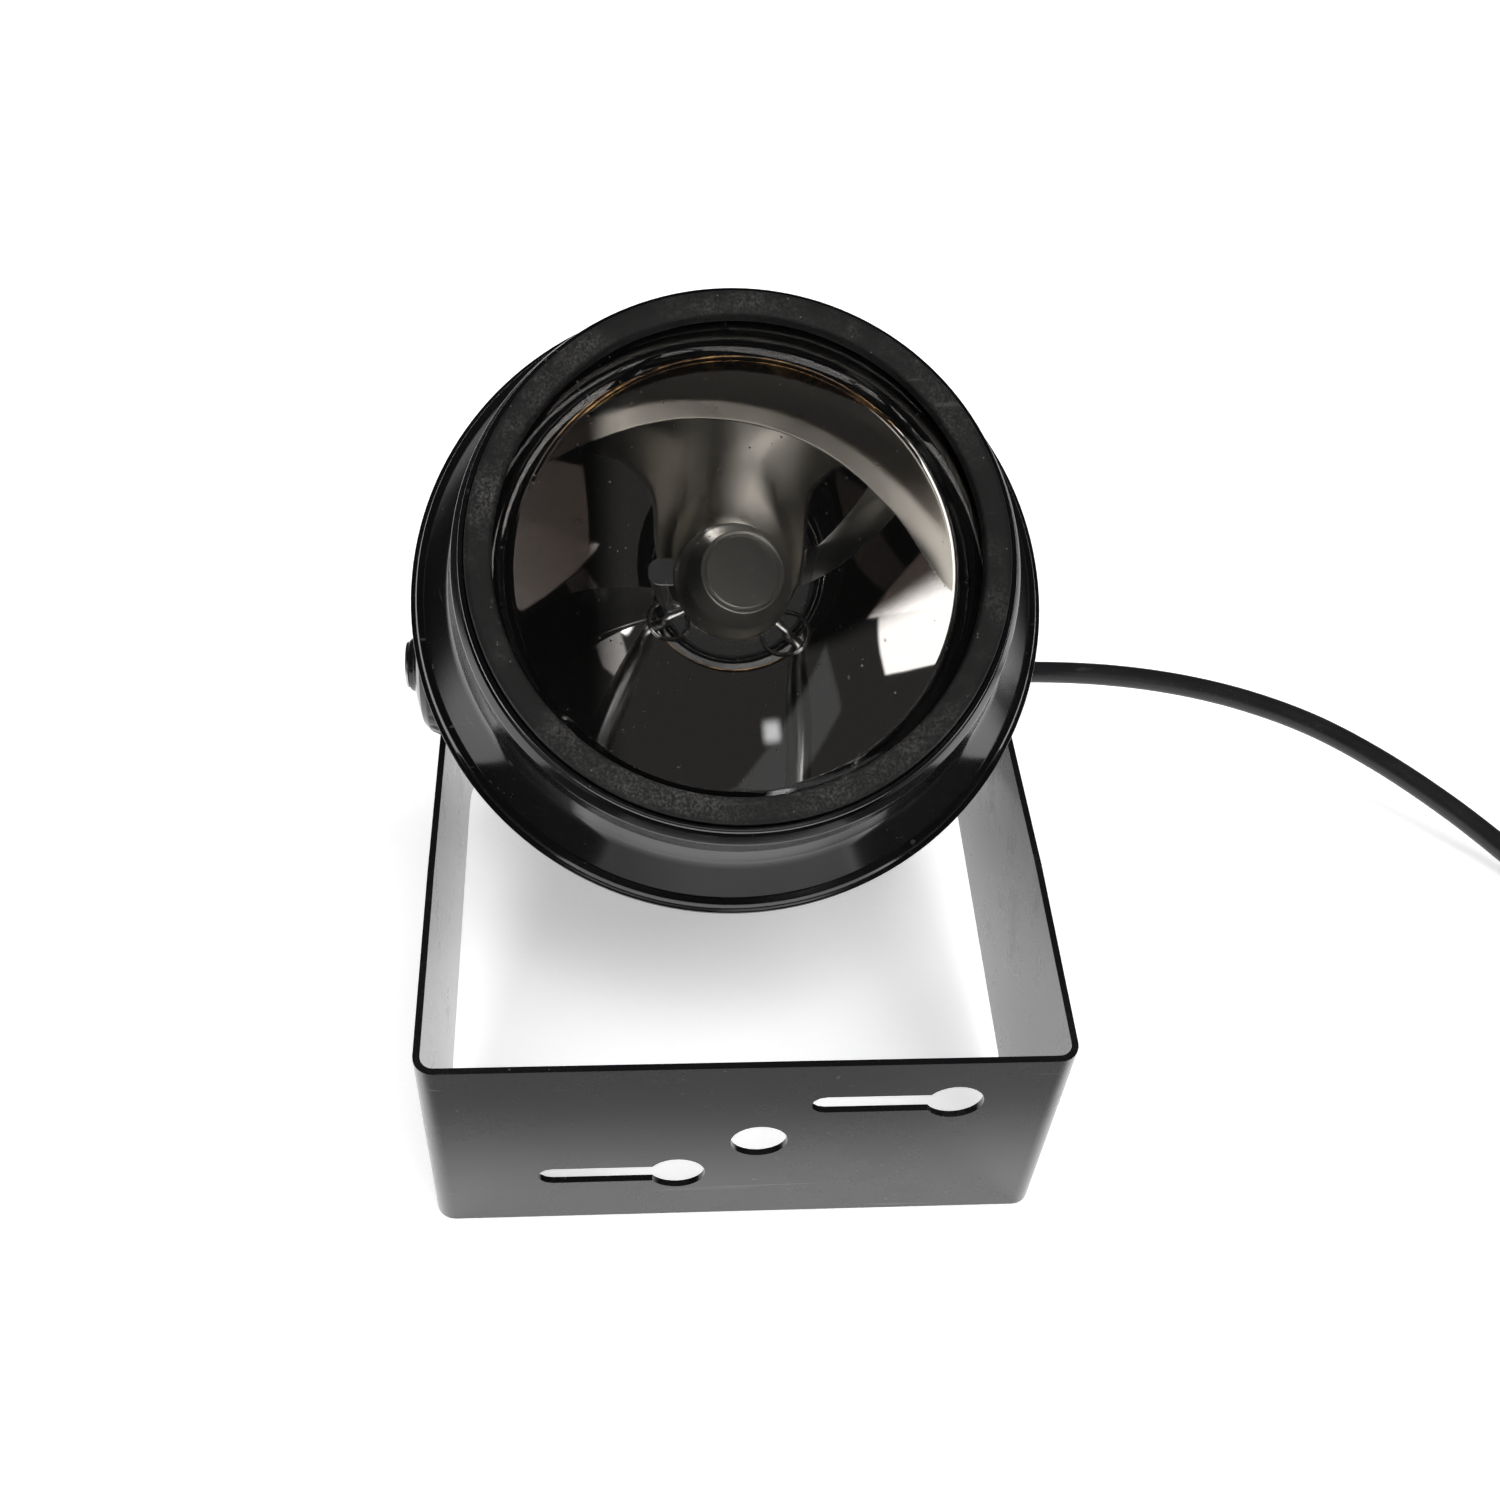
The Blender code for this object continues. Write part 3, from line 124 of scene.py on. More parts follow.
RELIEF_RIBS = 6
RELIEF_LENGTH = 20

# Outlines in millimetres, as radius, place along the axis and rounding
MM = 0.001
COVER_SECTION = (
    (60.5, -2.8, 0.3), (61.7, -2.9, 0.6), (61.9, -4.6, 0.5), (61.2, -5.2, 0.4), (62.4, -6.4, 0.6),
    (63.9, -9.2, 2), (64.0, -20, 8), (66.2, -29, 12), (73.0, -39.8, 1), (74.6, -40.4, 0.6),
    (75.3, -42.3, 0.5), (75.3, -42.9, 0.3), (76.4, -43.2, 0.7), (76.4, -47, 0.8), (66.4, -47, 0.2),
    (66.4, -45.8, 0.2), (74.8, -45.8, 0.4), (72.0, -40, 0.6), (65.0, -29, 12), (62.8, -20, 8),
    (62.8, -9.2, 1), (60.5, -5, 0.2),
)
GASKET_SECTION = (
    (54.3, -0.6, 1.1), (57.0, 0, 2), (60.2, 0, 1.6), (60.2, -4.2, 0.2), (62.5, -12.0, 0.3),
    (62.5, -16.5, 0.3), (57.4, -16.5, 0.3), (57.4, -4.5, 0.2), (54.3, -4.5, 0.3),
)
HOUSING_SECTION = (
    (0, 0, 0), (34, 0, 6), (55.2, 8.8, 22), (64, 30, 22), (64, 105.3, 1), (73, 105.3, 0.3),
    (73, 106.3, 0.3), (62.8, 106.3, 0.4), (62.8, 30, 20), (54.4, 9.6, 20), (34, 1.2, 5), (0, 1.2, 0),
)
BOSS_SECTION = ((4.2, 60.3, 0), (17, 60.3, 0), (17, 66, 1.2), (4.2, 66, 0.3))
SHIELD_SECTION = (
    (0, 10.05, 0), (8.35, 10.05, 0.2), (8.6, 9.75, 0.1), (9.1, 9.75, 0.1), (9.3, 10.35, 0.3),
    (9.75, 10.3, 0.3), (10.6, 8.95, 4), (12.4, 6.3, 5), (13.6, 2.9, 5), (13.9, 0, 0.2), (13.1, 0, 0.2),
    (12.8, 2.7, 4), (11.6, 5.9, 4), (9.2, 9.2, 1), (0, 9.25, 0),
)
KNOB_SECTION = (
    (4.2, 0, 0), (19.4, 0, 0.4), (20, 0.8, 0.6), (20, 5.2, 0.6), (18.9, 7.7, 1.5), (16.9, 9.5, 1.5),
    (13.5, 10.6, 1), (8.0, 12.0, 0.6), (7.2, 13.4, 0.4), (4.2, 13.4, 0),
)
STUD_SECTION = (
    (0, -21.8, 0), (3.9, -21.8, 0.4), (3.9, 13.7, 0), (6.6, 13.7, 0.2), (6.4, 14.5, 0.5), (0, 14.9, 0),
)
RELIEF_SECTION = (
    (0, 3.5, 0), (7.5, 3.5, 0.2), (7.5, 1.5, 0.2), (5.7, 1.5, 0), (5.7, -0.3, 0), (7.5, -0.3, 0.4),
)
RELIEF_RIB = ((0, 0.6, 0.2), (-0.9, 0.4, 0.2), (-0.9, -0.4, 0.2), (0, -0.6, 0.2))
RELIEF_TAPER = (6.2, 4.4)
RELIEF_COLLAR = 2
RELIEF_EDGES = (0.6, 0.3, 0.4)
BEVELS = {
    "yoke_bracket": 0.00035, "shield_leg": 0.00015, "plug_body": 0.0012, "coil_tie": 0.0002,
    "plug_blade_left": 0.0003, "plug_blade_right": 0.0003, "plug_earth_pin": 0.0006,
}
BEVEL_SMALL = 0.00012
BEVEL_ROUND = 0.5
PLUG_BEVEL_STEPS = 3
PLUG_METAL = ("plug_blade_left", "plug_blade_right", "plug_earth_pin")
PLUG_PIECES = ("plug_body", "coil_tie", *PLUG_METAL)
HEAD_STEEL = (
    "lamp_ferrule_left", "lamp_ferrule_right", "terminal_screw_left", "terminal_screw_right",
    "lamp_retainer", "transformer_strap", "transformer_screw_left", "transformer_screw_right",
    "pivot_nut_left", "pivot_nut_right",
)

# Screws, in the frame of their seat
SCREW_SECTION = (
    (0, -1.8, 0), (1.2, -1.75, 0.8), (2.3, -1.3, 1), (2.8, -0.35, 0.3), (2.8, 0, 0.05), (1.5, 0, 0),
    (1.5, 2.6, 0.1), (1.1, 3, 0.1), (0, 3, 0),
)
SCREW_STEPS = 45
COVER_SCREWS = 3
COVER_SCREW_REACH = 0.0697
COVER_SCREW_SEAT = OPENING - 0.04865
SLOT_SIZE = (0.0009, 0.009, 0.0013)
SLOT_PLACE = (0, 0, -0.0016)
SLOT_TURN = (0, 0, math.radians(22))

# Cord
CORD_RADIUS = 0.0035
CORD_SIDES = 24
COIL_RADIUS = 0.042
COIL_CENTRE = (0.302, 0.0162)
COIL_ENTRY = math.radians(205)
COIL_TURNS = 6 - COIL_ENTRY / math.tau
COIL_POINTS = 48
COIL_TAIL = 0.036
COIL_FLOOR = 0.0046
TURN_PITCH = 0.0076
CORD_ROUTE = (
    (0.0178, 0.1160, 0.0147),
    (0.0280, 0.1233, 0.0078),
    (0.0420, 0.1258, 0.0055),
    (0.0640, 0.1235, 0.0070),
    (0.0885, 0.1160, 0.0120),
    (0.1127, 0.1071, 0.0180),
    (0.1335, 0.1011, 0.0205),
    (0.1534, 0.0941, 0.0215),
    (0.1721, 0.0841, 0.0220),
    (0.1898, 0.0710, 0.0215),
    (0.2059, 0.0560, 0.0190),
    (0.2211, 0.0393, 0.0150),
    (0.2347, 0.0242, 0.0095),
)
RELIEF_END = (0.014, 0.014, -0.0554)

# Finishes as colour, roughness, metal, (grain, wave, grain scale), (scratches, rubs),
# (film, specks, speck scale) and the colour of a scratch
PALE_MARK = (0.18, 0.18, 0.18)
STEEL_MARK = (0.3, 0.3, 0.3)
METAL_DUST = (0.02, 0.1, 900)
BRACKET_FINISH = (
    (0.0045, 0.0045, 0.005), 0.26, 0, (0.06, 0.05, 500), (0.5, 0.5), (0.03, 0.12, 500), PALE_MARK,
)
BRACKET_COAT = 0.6
BRACKET_COAT_ROUGHNESS = 0.12
COVER_FINISH = (
    (0.003, 0.003, 0.0035), 0.16, 0, (0.03, 0.05, 500), (0.25, 0.3), (0.02, 0.1, 600), PALE_MARK,
)
GASKET_FINISH = (
    (0.010, 0.0098, 0.0095), 0.6, 0, (0.5, 0.04, 1400), (0.3, 0.4), (0.16, 0.3, 700), (0.1, 0.1, 0.095),
)
SHIELD_FINISH = ((0.62, 0.60, 0.55), 0.38, 1, (0.05, 0.02, 900), (0.1, 0.2), METAL_DUST, PALE_MARK)
STEEL_FINISH = ((0.55, 0.55, 0.54), 0.28, 1, (0.05, 0.02, 900), (0.3, 0.4), METAL_DUST, STEEL_MARK)
CORE_FINISH = ((0.12, 0.12, 0.13), 0.4, 1, (0.3, 0.02, 1500), (0.4, 0.4), METAL_DUST, STEEL_MARK)
COIL_FINISH = ((0.50, 0.33, 0.08), 0.35, 0, (0.1, 0.05, 700), (0.1, 0.3), METAL_DUST, (0.5, 0.4, 0.2))
LEAD_FINISH = (
    (0.58, 0.56, 0.52), 0.55, 0, (0.3, 0.05, 1600), (0.1, 0.3), (0.03, 0.1, 900), (0.4, 0.38, 0.35),
)
KNOB_FINISH = ((0.006, 0.006, 0.0065), 0.12, 0, (0.03, 0.02, 700), (0.2, 0.2), (0.02, 0.2, 700), PALE_MARK)
CORD_FINISH = ((0.010, 0.010, 0.011), 0.38, 0, (0.15, 0.03, 900), (0.15, 0.3), (0.03, 0.15, 700), PALE_MARK)
BRASS_FINISH = ((0.66, 0.52, 0.27), 0.26, 1, (0.04, 0.01, 900), (0.5, 0.4), METAL_DUST, (0.4, 0.32, 0.18))

# What the finishes share: noise as scale, layers and roughness, edges as the values that it fades between
SURFACE_OUTPUTS = (("Color", "NodeSocketColor"), ("Roughness", "NodeSocketFloat"))
NOISE_LAYERS = 2
NOISE_ROUGHNESS = 0.55
DUST_PATCH = (38, 5, 0.62)
DUST_PATCH_EDGE = (0.42, 0.72)
DUST_GRAIN = (1600, 2)
DUST_GRAIN_EDGE = (0.35, 0.8)
SPECK_EDGE = (0.16, 0.07)
SPECK_SHARE = 0.12
DUST_TONE = (0.46, 0.45, 0.42)
DUST_ROUGHNESS = 0.95
PEEL_SCALE = 600
PEEL_DEPTH = 0.1
PEEL_HEIGHT = 0.0002
WAVE_SCALE = 26
WAVE_HEIGHT = 0.003
SCRATCHES = ((0.35, (14, 420, 420), 1), (-1.1, (420, 22, 420), 5), (1.9, (18, 500, 500), 9))
SCRATCH_NOISE = (1, 0.4)
SCRATCH_EDGE = (0.735, 0.775)
SCRATCH_REGION = 30
SCRATCH_REGION_EDGE = (0.45, 0.62)
SCRATCH_ROUGHNESS = 0.2
RUB_NOISE = (55, 6, 0.7)
RUB_EDGE = (0.52, 0.78)
RUB_ROUGHNESS = 0.25

# Lens
GLASS_BEND = 1.47
LENS_DUST = (0.02, 0.5, 420)

# Coating of the bowl
BOWL_RIPPLE = (0.02, 0.02, 40)
WANDER_SCALE = 90
STREAK_NOISE = (55, 5, 0.7)
STREAK_EDGE = (0.42, 0.68)
BEAD_TONE = (0.55, 0.53, 0.50)
BEAD_ROUGHNESS = 0.08
BOWL_TONE = (0.80, 0.78, 0.76)
BOWL_ROUGHNESS = 0.02
COATING_EDGE = (0.42, 0.25, 0.10)
COATING_DARK = (0.06, 0.035, 0.02)
# Painted shade: the near black tone that the mirror is darkened to on its left side
BOWL_PAINTED_SHADE_TONE = (0.012, 0.008, 0.006)
BARE_GLASS = (0.004, 0.004, 0.004)
COATING_FADE = 0.0007
COATING_WANDER = 0.0008
COATING_SAG = 0.0036
COATING_SAG_FROM = (0.030, 0.050)
# Painted shade on the mirror's left: how much of the bright tone is kept there, and across what span it fades
# in
BOWL_LEFT_PAINTED_SHADE = 0.01
BOWL_LEFT_PAINTED_SHADE_FROM = (-0.034, -0.024)

# Light: lamps as name, place, size, power and whether they show in shiny surfaces
LAMPS = (
    ("key", (0.5, -1.5, 2.4), 1.6, 52, False),
    ("fill", (-1.2, -0.2, 2.4), 1.6, 26, False),
    ("back", (1.6, 1.2, 2.2), 1.2, 26, False),
)
FLOOR_REACH = 6
FLOOR_GLOW = 0.46
FLOOR_FAR = (0.8, 2.5)
CLOTH_TONE = (0.9, 0.9, 0.9)
CLOTH_ROUGHNESS = 0.9
WEAVE_NOISE = (700, 2)
WEAVE_DEPTH = 0.25
WEAVE_HEIGHT = 0.0004
# The cloth as glossy surfaces and bounced light see it: where it ends across, and painted shade in front of
# the lamp, down to a level
CLOTH_EDGE = (0.26, 0.38)
CLOTH_PAINTED_SHADE_FRONT = (-0.125, -0.100)
CLOTH_PAINTED_SHADE_LEVEL = 0.3
TABLE_TONE = (0.02, 0.02, 0.02)
ROOM_DARK = 0.032
ROOM_PALE = 1.0
ROOM_HORIZON = (math.radians(-1), math.radians(3))
# Panes as bearing, height, half width, half height, soft edge (degrees), lean and strength
ROOM_PANES = (
    (6.5, 19, 10.5, 7, 0.8, 0.53, 2.8),
    (-11, 22, 8, 8, 0.8, 0, 2.0),
    (11, 35, 9, 3.2, 1.2, -0.9, 0.5),
    (9.5, 38.5, 0.4, 0.4, 1.5, 0, 7),
)


def make_camera():
    """The photograph's view."""
    forward = Vector(CAMERA_FORWARD).normalized()
    right = forward.cross(Vector(CAMERA_UP)).normalized()
    up = right.cross(forward)
    data = bpy.data.cameras.new("camera")
    data.sensor_fit = "HORIZONTAL"
    data.sensor_width = CAMERA_SENSOR
    data.lens = CAMERA_LENS
    camera = bpy.data.objects.new("camera", data)
    bpy.context.scene.collection.objects.link(camera)
    turn = Matrix((right, up, -forward)).transposed().to_4x4()
    camera.matrix_world = Matrix.Translation(CAMERA_PLACE) @ turn
    bpy.context.scene.camera = camera


def smooth_route(places, step):
    """Evenly spaced points on a smooth curve through the places, first and last included."""
    padded = [2 * places[0] - places[1], *places, 2 * places[-1] - places[-2]]
    fine = []
    for before, first, second, after in zip(padded, padded[1:], padded[2:], padded[3:]):
        for index in range(COIL_POINTS):
            share = index / COIL_POINTS
            pull = (second - before) / 2
            push = (after - first) / 2
            bend = 3 * (second - first) - 2 * pull - push
            twist = 2 * (first - second) + pull + push
            fine.append(first + pull * share + bend * share**2 + twist * share**3)
    fine.append(places[-1])
    route, since = [fine[0]], 0.0
    for first, second in zip(fine, fine[1:]):
        since += (second - first).length
        if since >= step:
            route.append(second)
            since = 0.0
    return route


def coil_point(turns):
    """A point on the coil, which spirals in on the table, climbs where it reverses, and spirals out above."""
    angle = COIL_ENTRY + math.tau * turns
    past = turns - COIL_TURNS / 2
    reach = COIL_RADIUS - TURN_PITCH * COIL_TURNS / 4 + TURN_PITCH * abs(past)
    share = min(max(2 * past + 1 / 2, 0), 1)
    rise = share * share * (3 - 2 * share)
    place = Vector((*COIL_CENTRE, COIL_FLOOR + TURN_PITCH * rise))
    return place + Vector((reach * math.cos(angle), reach * math.sin(angle), 0))


def cord_points():
    """The whole cord: out of the strain relief, over the table, round the coil and into the plug."""
    start = HEAD @ Vector(RELIEF_END)
    onward = HEAD @ (Vector(RELIEF_END) - Vector((0, 0, CORD_RADIUS)))
    count = round(COIL_TURNS * COIL_POINTS)
    turns = [coil_point(COIL_TURNS * index / count) for index in range(count + 1)]
    back = (turns[0] - turns[2]).normalized()
    before = turns[0] + back * 4 * CORD_RADIUS
    free = smooth_route([start, onward, *(Vector(place) for place in CORD_ROUTE), before], CORD_RADIUS)
    tail = Vector((0, COIL_TAIL, 0))
    return [*free, turns[0] + back * 2 * CORD_RADIUS, *turns, turns[-1] + tail / 2, turns[-1] + tail]


def tube(name, points, radius, sides):
    """A smooth bent tube through points, as a mesh."""
    curve = bpy.data.curves.new(name, "CURVE")
    curve.dimensions = "3D"
    curve.bevel_depth = radius
    curve.bevel_resolution = sides // 4
    curve.use_fill_caps = True
    curve.resolution_u = 1
    spline = curve.splines.new("POLY")
    spline.points.add(len(points) - 1)
    for spot, point in zip(spline.points, points):
        spot.co = (*point, 1)
    made = bpy.data.objects.new(name, curve)
    mesh = bpy.data.meshes.new_from_object(made)
    bpy.data.objects.remove(made)
    mesh.shade_smooth()
    return mesh


def make_cord():
    """One smooth cord of its real length, ending in the plug."""
    points = cord_points()
    mesh = tube("mains_cord", points, CORD_RADIUS, CORD_SIDES)
    cord = bpy.data.objects.new("mains_cord", mesh)
    bpy.context.scene.collection.objects.link(cord)
    mesh.materials.clear()
    mesh.materials.append(cord_plastic())
    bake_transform(cord)
    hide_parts("cord_run", "cord_coil")
    make_plug()


def new_material(name, colour, roughness, metallic=0.0):
    """A material, its tree and its Principled shader."""
    made = bpy.data.materials.new(name)
    made.use_nodes = True
    shader = made.node_tree.nodes["Principled BSDF"]
    shader.inputs["Base Color"].default_value = (*colour, 1)
    shader.inputs["Roughness"].default_value = roughness
    shader.inputs["Metallic"].default_value = metallic
    return made, made.node_tree, shader


def new_group(name, inputs, outputs):
    """A shader node group with float, colour or vector sockets, and its two ends."""
    group = bpy.data.node_groups.new(name, "ShaderNodeTree")
    for label, kind, default in inputs:
        socket = group.interface.new_socket(name=label, in_out="INPUT", socket_type=kind)
        if default is not None:
            socket.default_value = default
    for label, kind in outputs:
        group.interface.new_socket(name=label, in_out="OUTPUT", socket_type=kind)
    return group, group.nodes.new("NodeGroupInput"), group.nodes.new("NodeGroupOutput")


def node(tree, kind, sources=None, **settings):
    """A node with its settings, its inputs set to constants or linked from sockets."""
    made = tree.nodes.new(kind)
    for name, value in settings.items():
        setattr(made, name, value)
    for key, value in (sources or {}).items():
        if isinstance(value, bpy.types.NodeSocket):
            tree.links.new(value, made.inputs[key])
        else:
            made.inputs[key].default_value = value
    return made


def maths(tree, operation, first, second=0.0, clamp=False):
    """The result of one sum."""
    made = node(tree, "ShaderNodeMath", {0: first, 1: second}, operation=operation, use_clamp=clamp)
    return made.outputs[0]


def remap(tree, value, low, high, start=0.0, end=1.0, soft=True):
    """A value brought from one range to another, eased at both ends."""
    kind = "SMOOTHSTEP" if soft else "LINEAR"
    sources = {"Value": value, "From Min": low, "From Max": high, "To Min": start, "To Max": end}
    return node(tree, "ShaderNodeMapRange", sources, interpolation_type=kind).outputs["Result"]


def noise(tree, vector, scale, detail=3, roughness=NOISE_ROUGHNESS):
    """Soft noise over the object."""
    sources = {"Vector": vector, "Scale": scale, "Detail": detail, "Roughness": roughness}
    return node(tree, "ShaderNodeTexNoise", sources).outputs["Fac"]


def mixed(tree, share, first, second, kind="RGBA"):
    """A colour, or a number where the kind is FLOAT, between two."""
    low, high, out = (6, 7, 2) if kind == "RGBA" else (2, 3, 0)
    return node(tree, "ShaderNodeMix", {0: share, low: first, high: second}, data_type=kind).outputs[out]


def dust_group():
    """Settled dust and lint: a thin film in patches, and pale specks."""
    name = "settled_dust"
    if name in bpy.data.node_groups:
        return bpy.data.node_groups[name]
    inputs = (
        ("Base Color", "NodeSocketColor", (0, 0, 0, 1)),
        ("Base Roughness", "NodeSocketFloat", 0),
        ("Film", "NodeSocketFloat", 0),
        ("Specks", "NodeSocketFloat", 0),
        ("Speck Scale", "NodeSocketFloat", 0),
    )
    group, ins, outs = new_group(name, inputs, SURFACE_OUTPUTS)
    place = node(group, "ShaderNodeTexCoord").outputs["Object"]
    patch = remap(group, noise(group, place, *DUST_PATCH), *DUST_PATCH_EDGE)
    grain = remap(group, noise(group, place, *DUST_GRAIN), *DUST_GRAIN_EDGE)
    film = maths(group, "MULTIPLY", maths(group, "MULTIPLY", patch, grain), ins.outputs["Film"])
    sources = {"Vector": place, "Scale": ins.outputs["Speck Scale"], "Randomness": 1}
    cells = node(group, "ShaderNodeTexVoronoi", sources)
    speck = remap(group, cells.outputs["Distance"], *SPECK_EDGE)
    chance = node(group, "ShaderNodeSeparateColor", {"Color": cells.outputs["Color"]})
    kept = maths(group, "LESS_THAN", chance.outputs[0], SPECK_SHARE)
    speck = maths(group, "MULTIPLY", maths(group, "MULTIPLY", speck, kept), ins.outputs["Specks"])
    mask = maths(group, "ADD", film, speck, clamp=True)
    group.links.new(mixed(group, mask, ins.outputs["Base Color"], (*DUST_TONE, 1)), outs.inputs["Color"])
    rough = mixed(group, mask, ins.outputs["Base Roughness"], DUST_ROUGHNESS, "FLOAT")
    group.links.new(rough, outs.inputs["Roughness"])
    return group


def peel_group():
    """The faint waviness and grain of sprayed or moulded skin, as a normal."""
    name = "skin_waviness"
    if name in bpy.data.node_groups:
        return bpy.data.node_groups[name]
    inputs = (
        ("Scale", "NodeSocketFloat", PEEL_SCALE),
        ("Depth", "NodeSocketFloat", PEEL_DEPTH),
        ("Wave", "NodeSocketFloat", PEEL_DEPTH),
    )
    group, ins, outs = new_group(name, inputs, (("Normal", "NodeSocketVector"),))
    place = node(group, "ShaderNodeTexCoord").outputs["Object"]
    fine = noise(group, place, ins.outputs["Scale"], NOISE_LAYERS)
    broad = noise(group, place, WAVE_SCALE, NOISE_LAYERS)
    sources = {"Strength": ins.outputs["Depth"], "Distance": PEEL_HEIGHT, "Height": fine}
    first = node(group, "ShaderNodeBump", sources)
    sources = {"Strength": ins.outputs["Wave"], "Distance": WAVE_HEIGHT, "Height": broad}
    second = node(group, "ShaderNodeBump", {**sources, "Normal": first.outputs[0]})
    group.links.new(second.outputs[0], outs.inputs["Normal"])
    return group


def wear_group():
    """Fine scratches and rubbed patches: paler and rougher than the skin they mark."""
    name = "rubbed_wear"
    if name in bpy.data.node_groups:
        return bpy.data.node_groups[name]
    inputs = (
        ("Base Color", "NodeSocketColor", (0, 0, 0, 1)),
        ("Base Roughness", "NodeSocketFloat", 0),
        ("Scratches", "NodeSocketFloat", 0),
        ("Rubs", "NodeSocketFloat", 0),
        ("Mark Color", "NodeSocketColor", (0, 0, 0, 1)),
    )
    group, ins, outs = new_group(name, inputs, SURFACE_OUTPUTS)
    place = node(group, "ShaderNodeTexCoord").outputs["Object"]
    marks = []
    for turn, stretch, seed in SCRATCHES:
        sources = {"Vector": place, "Location": (seed, seed, seed), "Rotation": (turn, turn / 2, turn)}
        moved = node(group, "ShaderNodeMapping", {**sources, "Scale": stretch})
        marks.append(remap(group, noise(group, moved.outputs[0], 1, *SCRATCH_NOISE), *SCRATCH_EDGE))
    lines = maths(group, "MAXIMUM", maths(group, "MAXIMUM", marks[0], marks[1]), marks[2])
    region = remap(group, noise(group, place, SCRATCH_REGION, NOISE_LAYERS), *SCRATCH_REGION_EDGE)
    lines = maths(group, "MULTIPLY", maths(group, "MULTIPLY", lines, region), ins.outputs["Scratches"])
    rubs = remap(group, noise(group, place, *RUB_NOISE), *RUB_EDGE)
    rubs = maths(group, "MULTIPLY", rubs, ins.outputs["Rubs"])
    tone = mixed(group, lines, ins.outputs["Base Color"], ins.outputs["Mark Color"])
    group.links.new(tone, outs.inputs["Color"])
    rubbed = maths(group, "MULTIPLY", rubs, RUB_ROUGHNESS)
    scratched = maths(group, "MULTIPLY", lines, SCRATCH_ROUGHNESS)
    rougher = maths(group, "ADD", ins.outputs["Base Roughness"], rubbed)
    group.links.new(maths(group, "ADD", rougher, scratched, clamp=True), outs.inputs["Roughness"])
    return group


def settle(tree, shader, dust):
    """Dust on top of a surface, linked to its shader. The group's base inputs are left to the caller."""
    settled = node(tree, "ShaderNodeGroup", node_tree=dust_group())
    for key, value in zip(("Film", "Specks", "Speck Scale"), dust):
        settled.inputs[key].default_value = value
    tree.links.new(settled.outputs["Color"], shader.inputs["Base Color"])
    tree.links.new(settled.outputs["Roughness"], shader.inputs["Roughness"])
    return settled


def ripple(tree, shader, peel):
    """Waviness, linked to a shader: the depths of the grain and of the wave, and the grain's scale."""
    skin = node(tree, "ShaderNodeGroup", node_tree=peel_group())
    for key, value in zip(("Depth", "Wave", "Scale"), peel):
        skin.inputs[key].default_value = value
    tree.links.new(skin.outputs["Normal"], shader.inputs["Normal"])


def dressed(name, finish):
    """A material with waviness, wear and dust, made from a finish, and its shader."""
    colour, roughness, metallic, peel, wear, dust, mark = finish
    made, tree, shader = new_material(name, colour, roughness, metallic)
    ripple(tree, shader, peel)
    worn = node(tree, "ShaderNodeGroup", node_tree=wear_group())
    worn.inputs["Base Color"].default_value = (*colour, 1)
    worn.inputs["Base Roughness"].default_value = roughness
    worn.inputs["Scratches"].default_value, worn.inputs["Rubs"].default_value = wear
    worn.inputs["Mark Color"].default_value = (*mark, 1)
    settled = settle(tree, shader, dust)
    tree.links.new(worn.outputs["Color"], settled.inputs["Base Color"])
    tree.links.new(worn.outputs["Roughness"], settled.inputs["Base Roughness"])
    return made, shader


def bracket_paint():
    """Semi gloss black enamel under a clear gloss, scratched and rubbed by use."""
    made, shader = dressed("bracket_paint", BRACKET_FINISH)
    shader.inputs["Coat Weight"].default_value = BRACKET_COAT
    shader.inputs["Coat Roughness"].default_value = BRACKET_COAT_ROUGHNESS
    return made


def cover_paint():
    """The head's glossier black enamel."""
    return dressed("cover_paint", COVER_FINISH)[0]


def gasket_rubber():
    """Matt black rubber with pale scuffs."""
    return dressed("gasket_rubber", GASKET_FINISH)[0]


def lens_glass():
    """Clear pressed glass with lint and dust on it."""
    made, tree, shader = new_material("lens_glass", (1, 1, 1), 0)
    shader.inputs["Transmission Weight"].default_value = 1
    shader.inputs["IOR"].default_value = GLASS_BEND
    settled = settle(tree, shader, LENS_DUST)
    settled.inputs["Base Color"].default_value = (1, 1, 1, 1)
    settled.inputs["Base Roughness"].default_value = 0
    return made


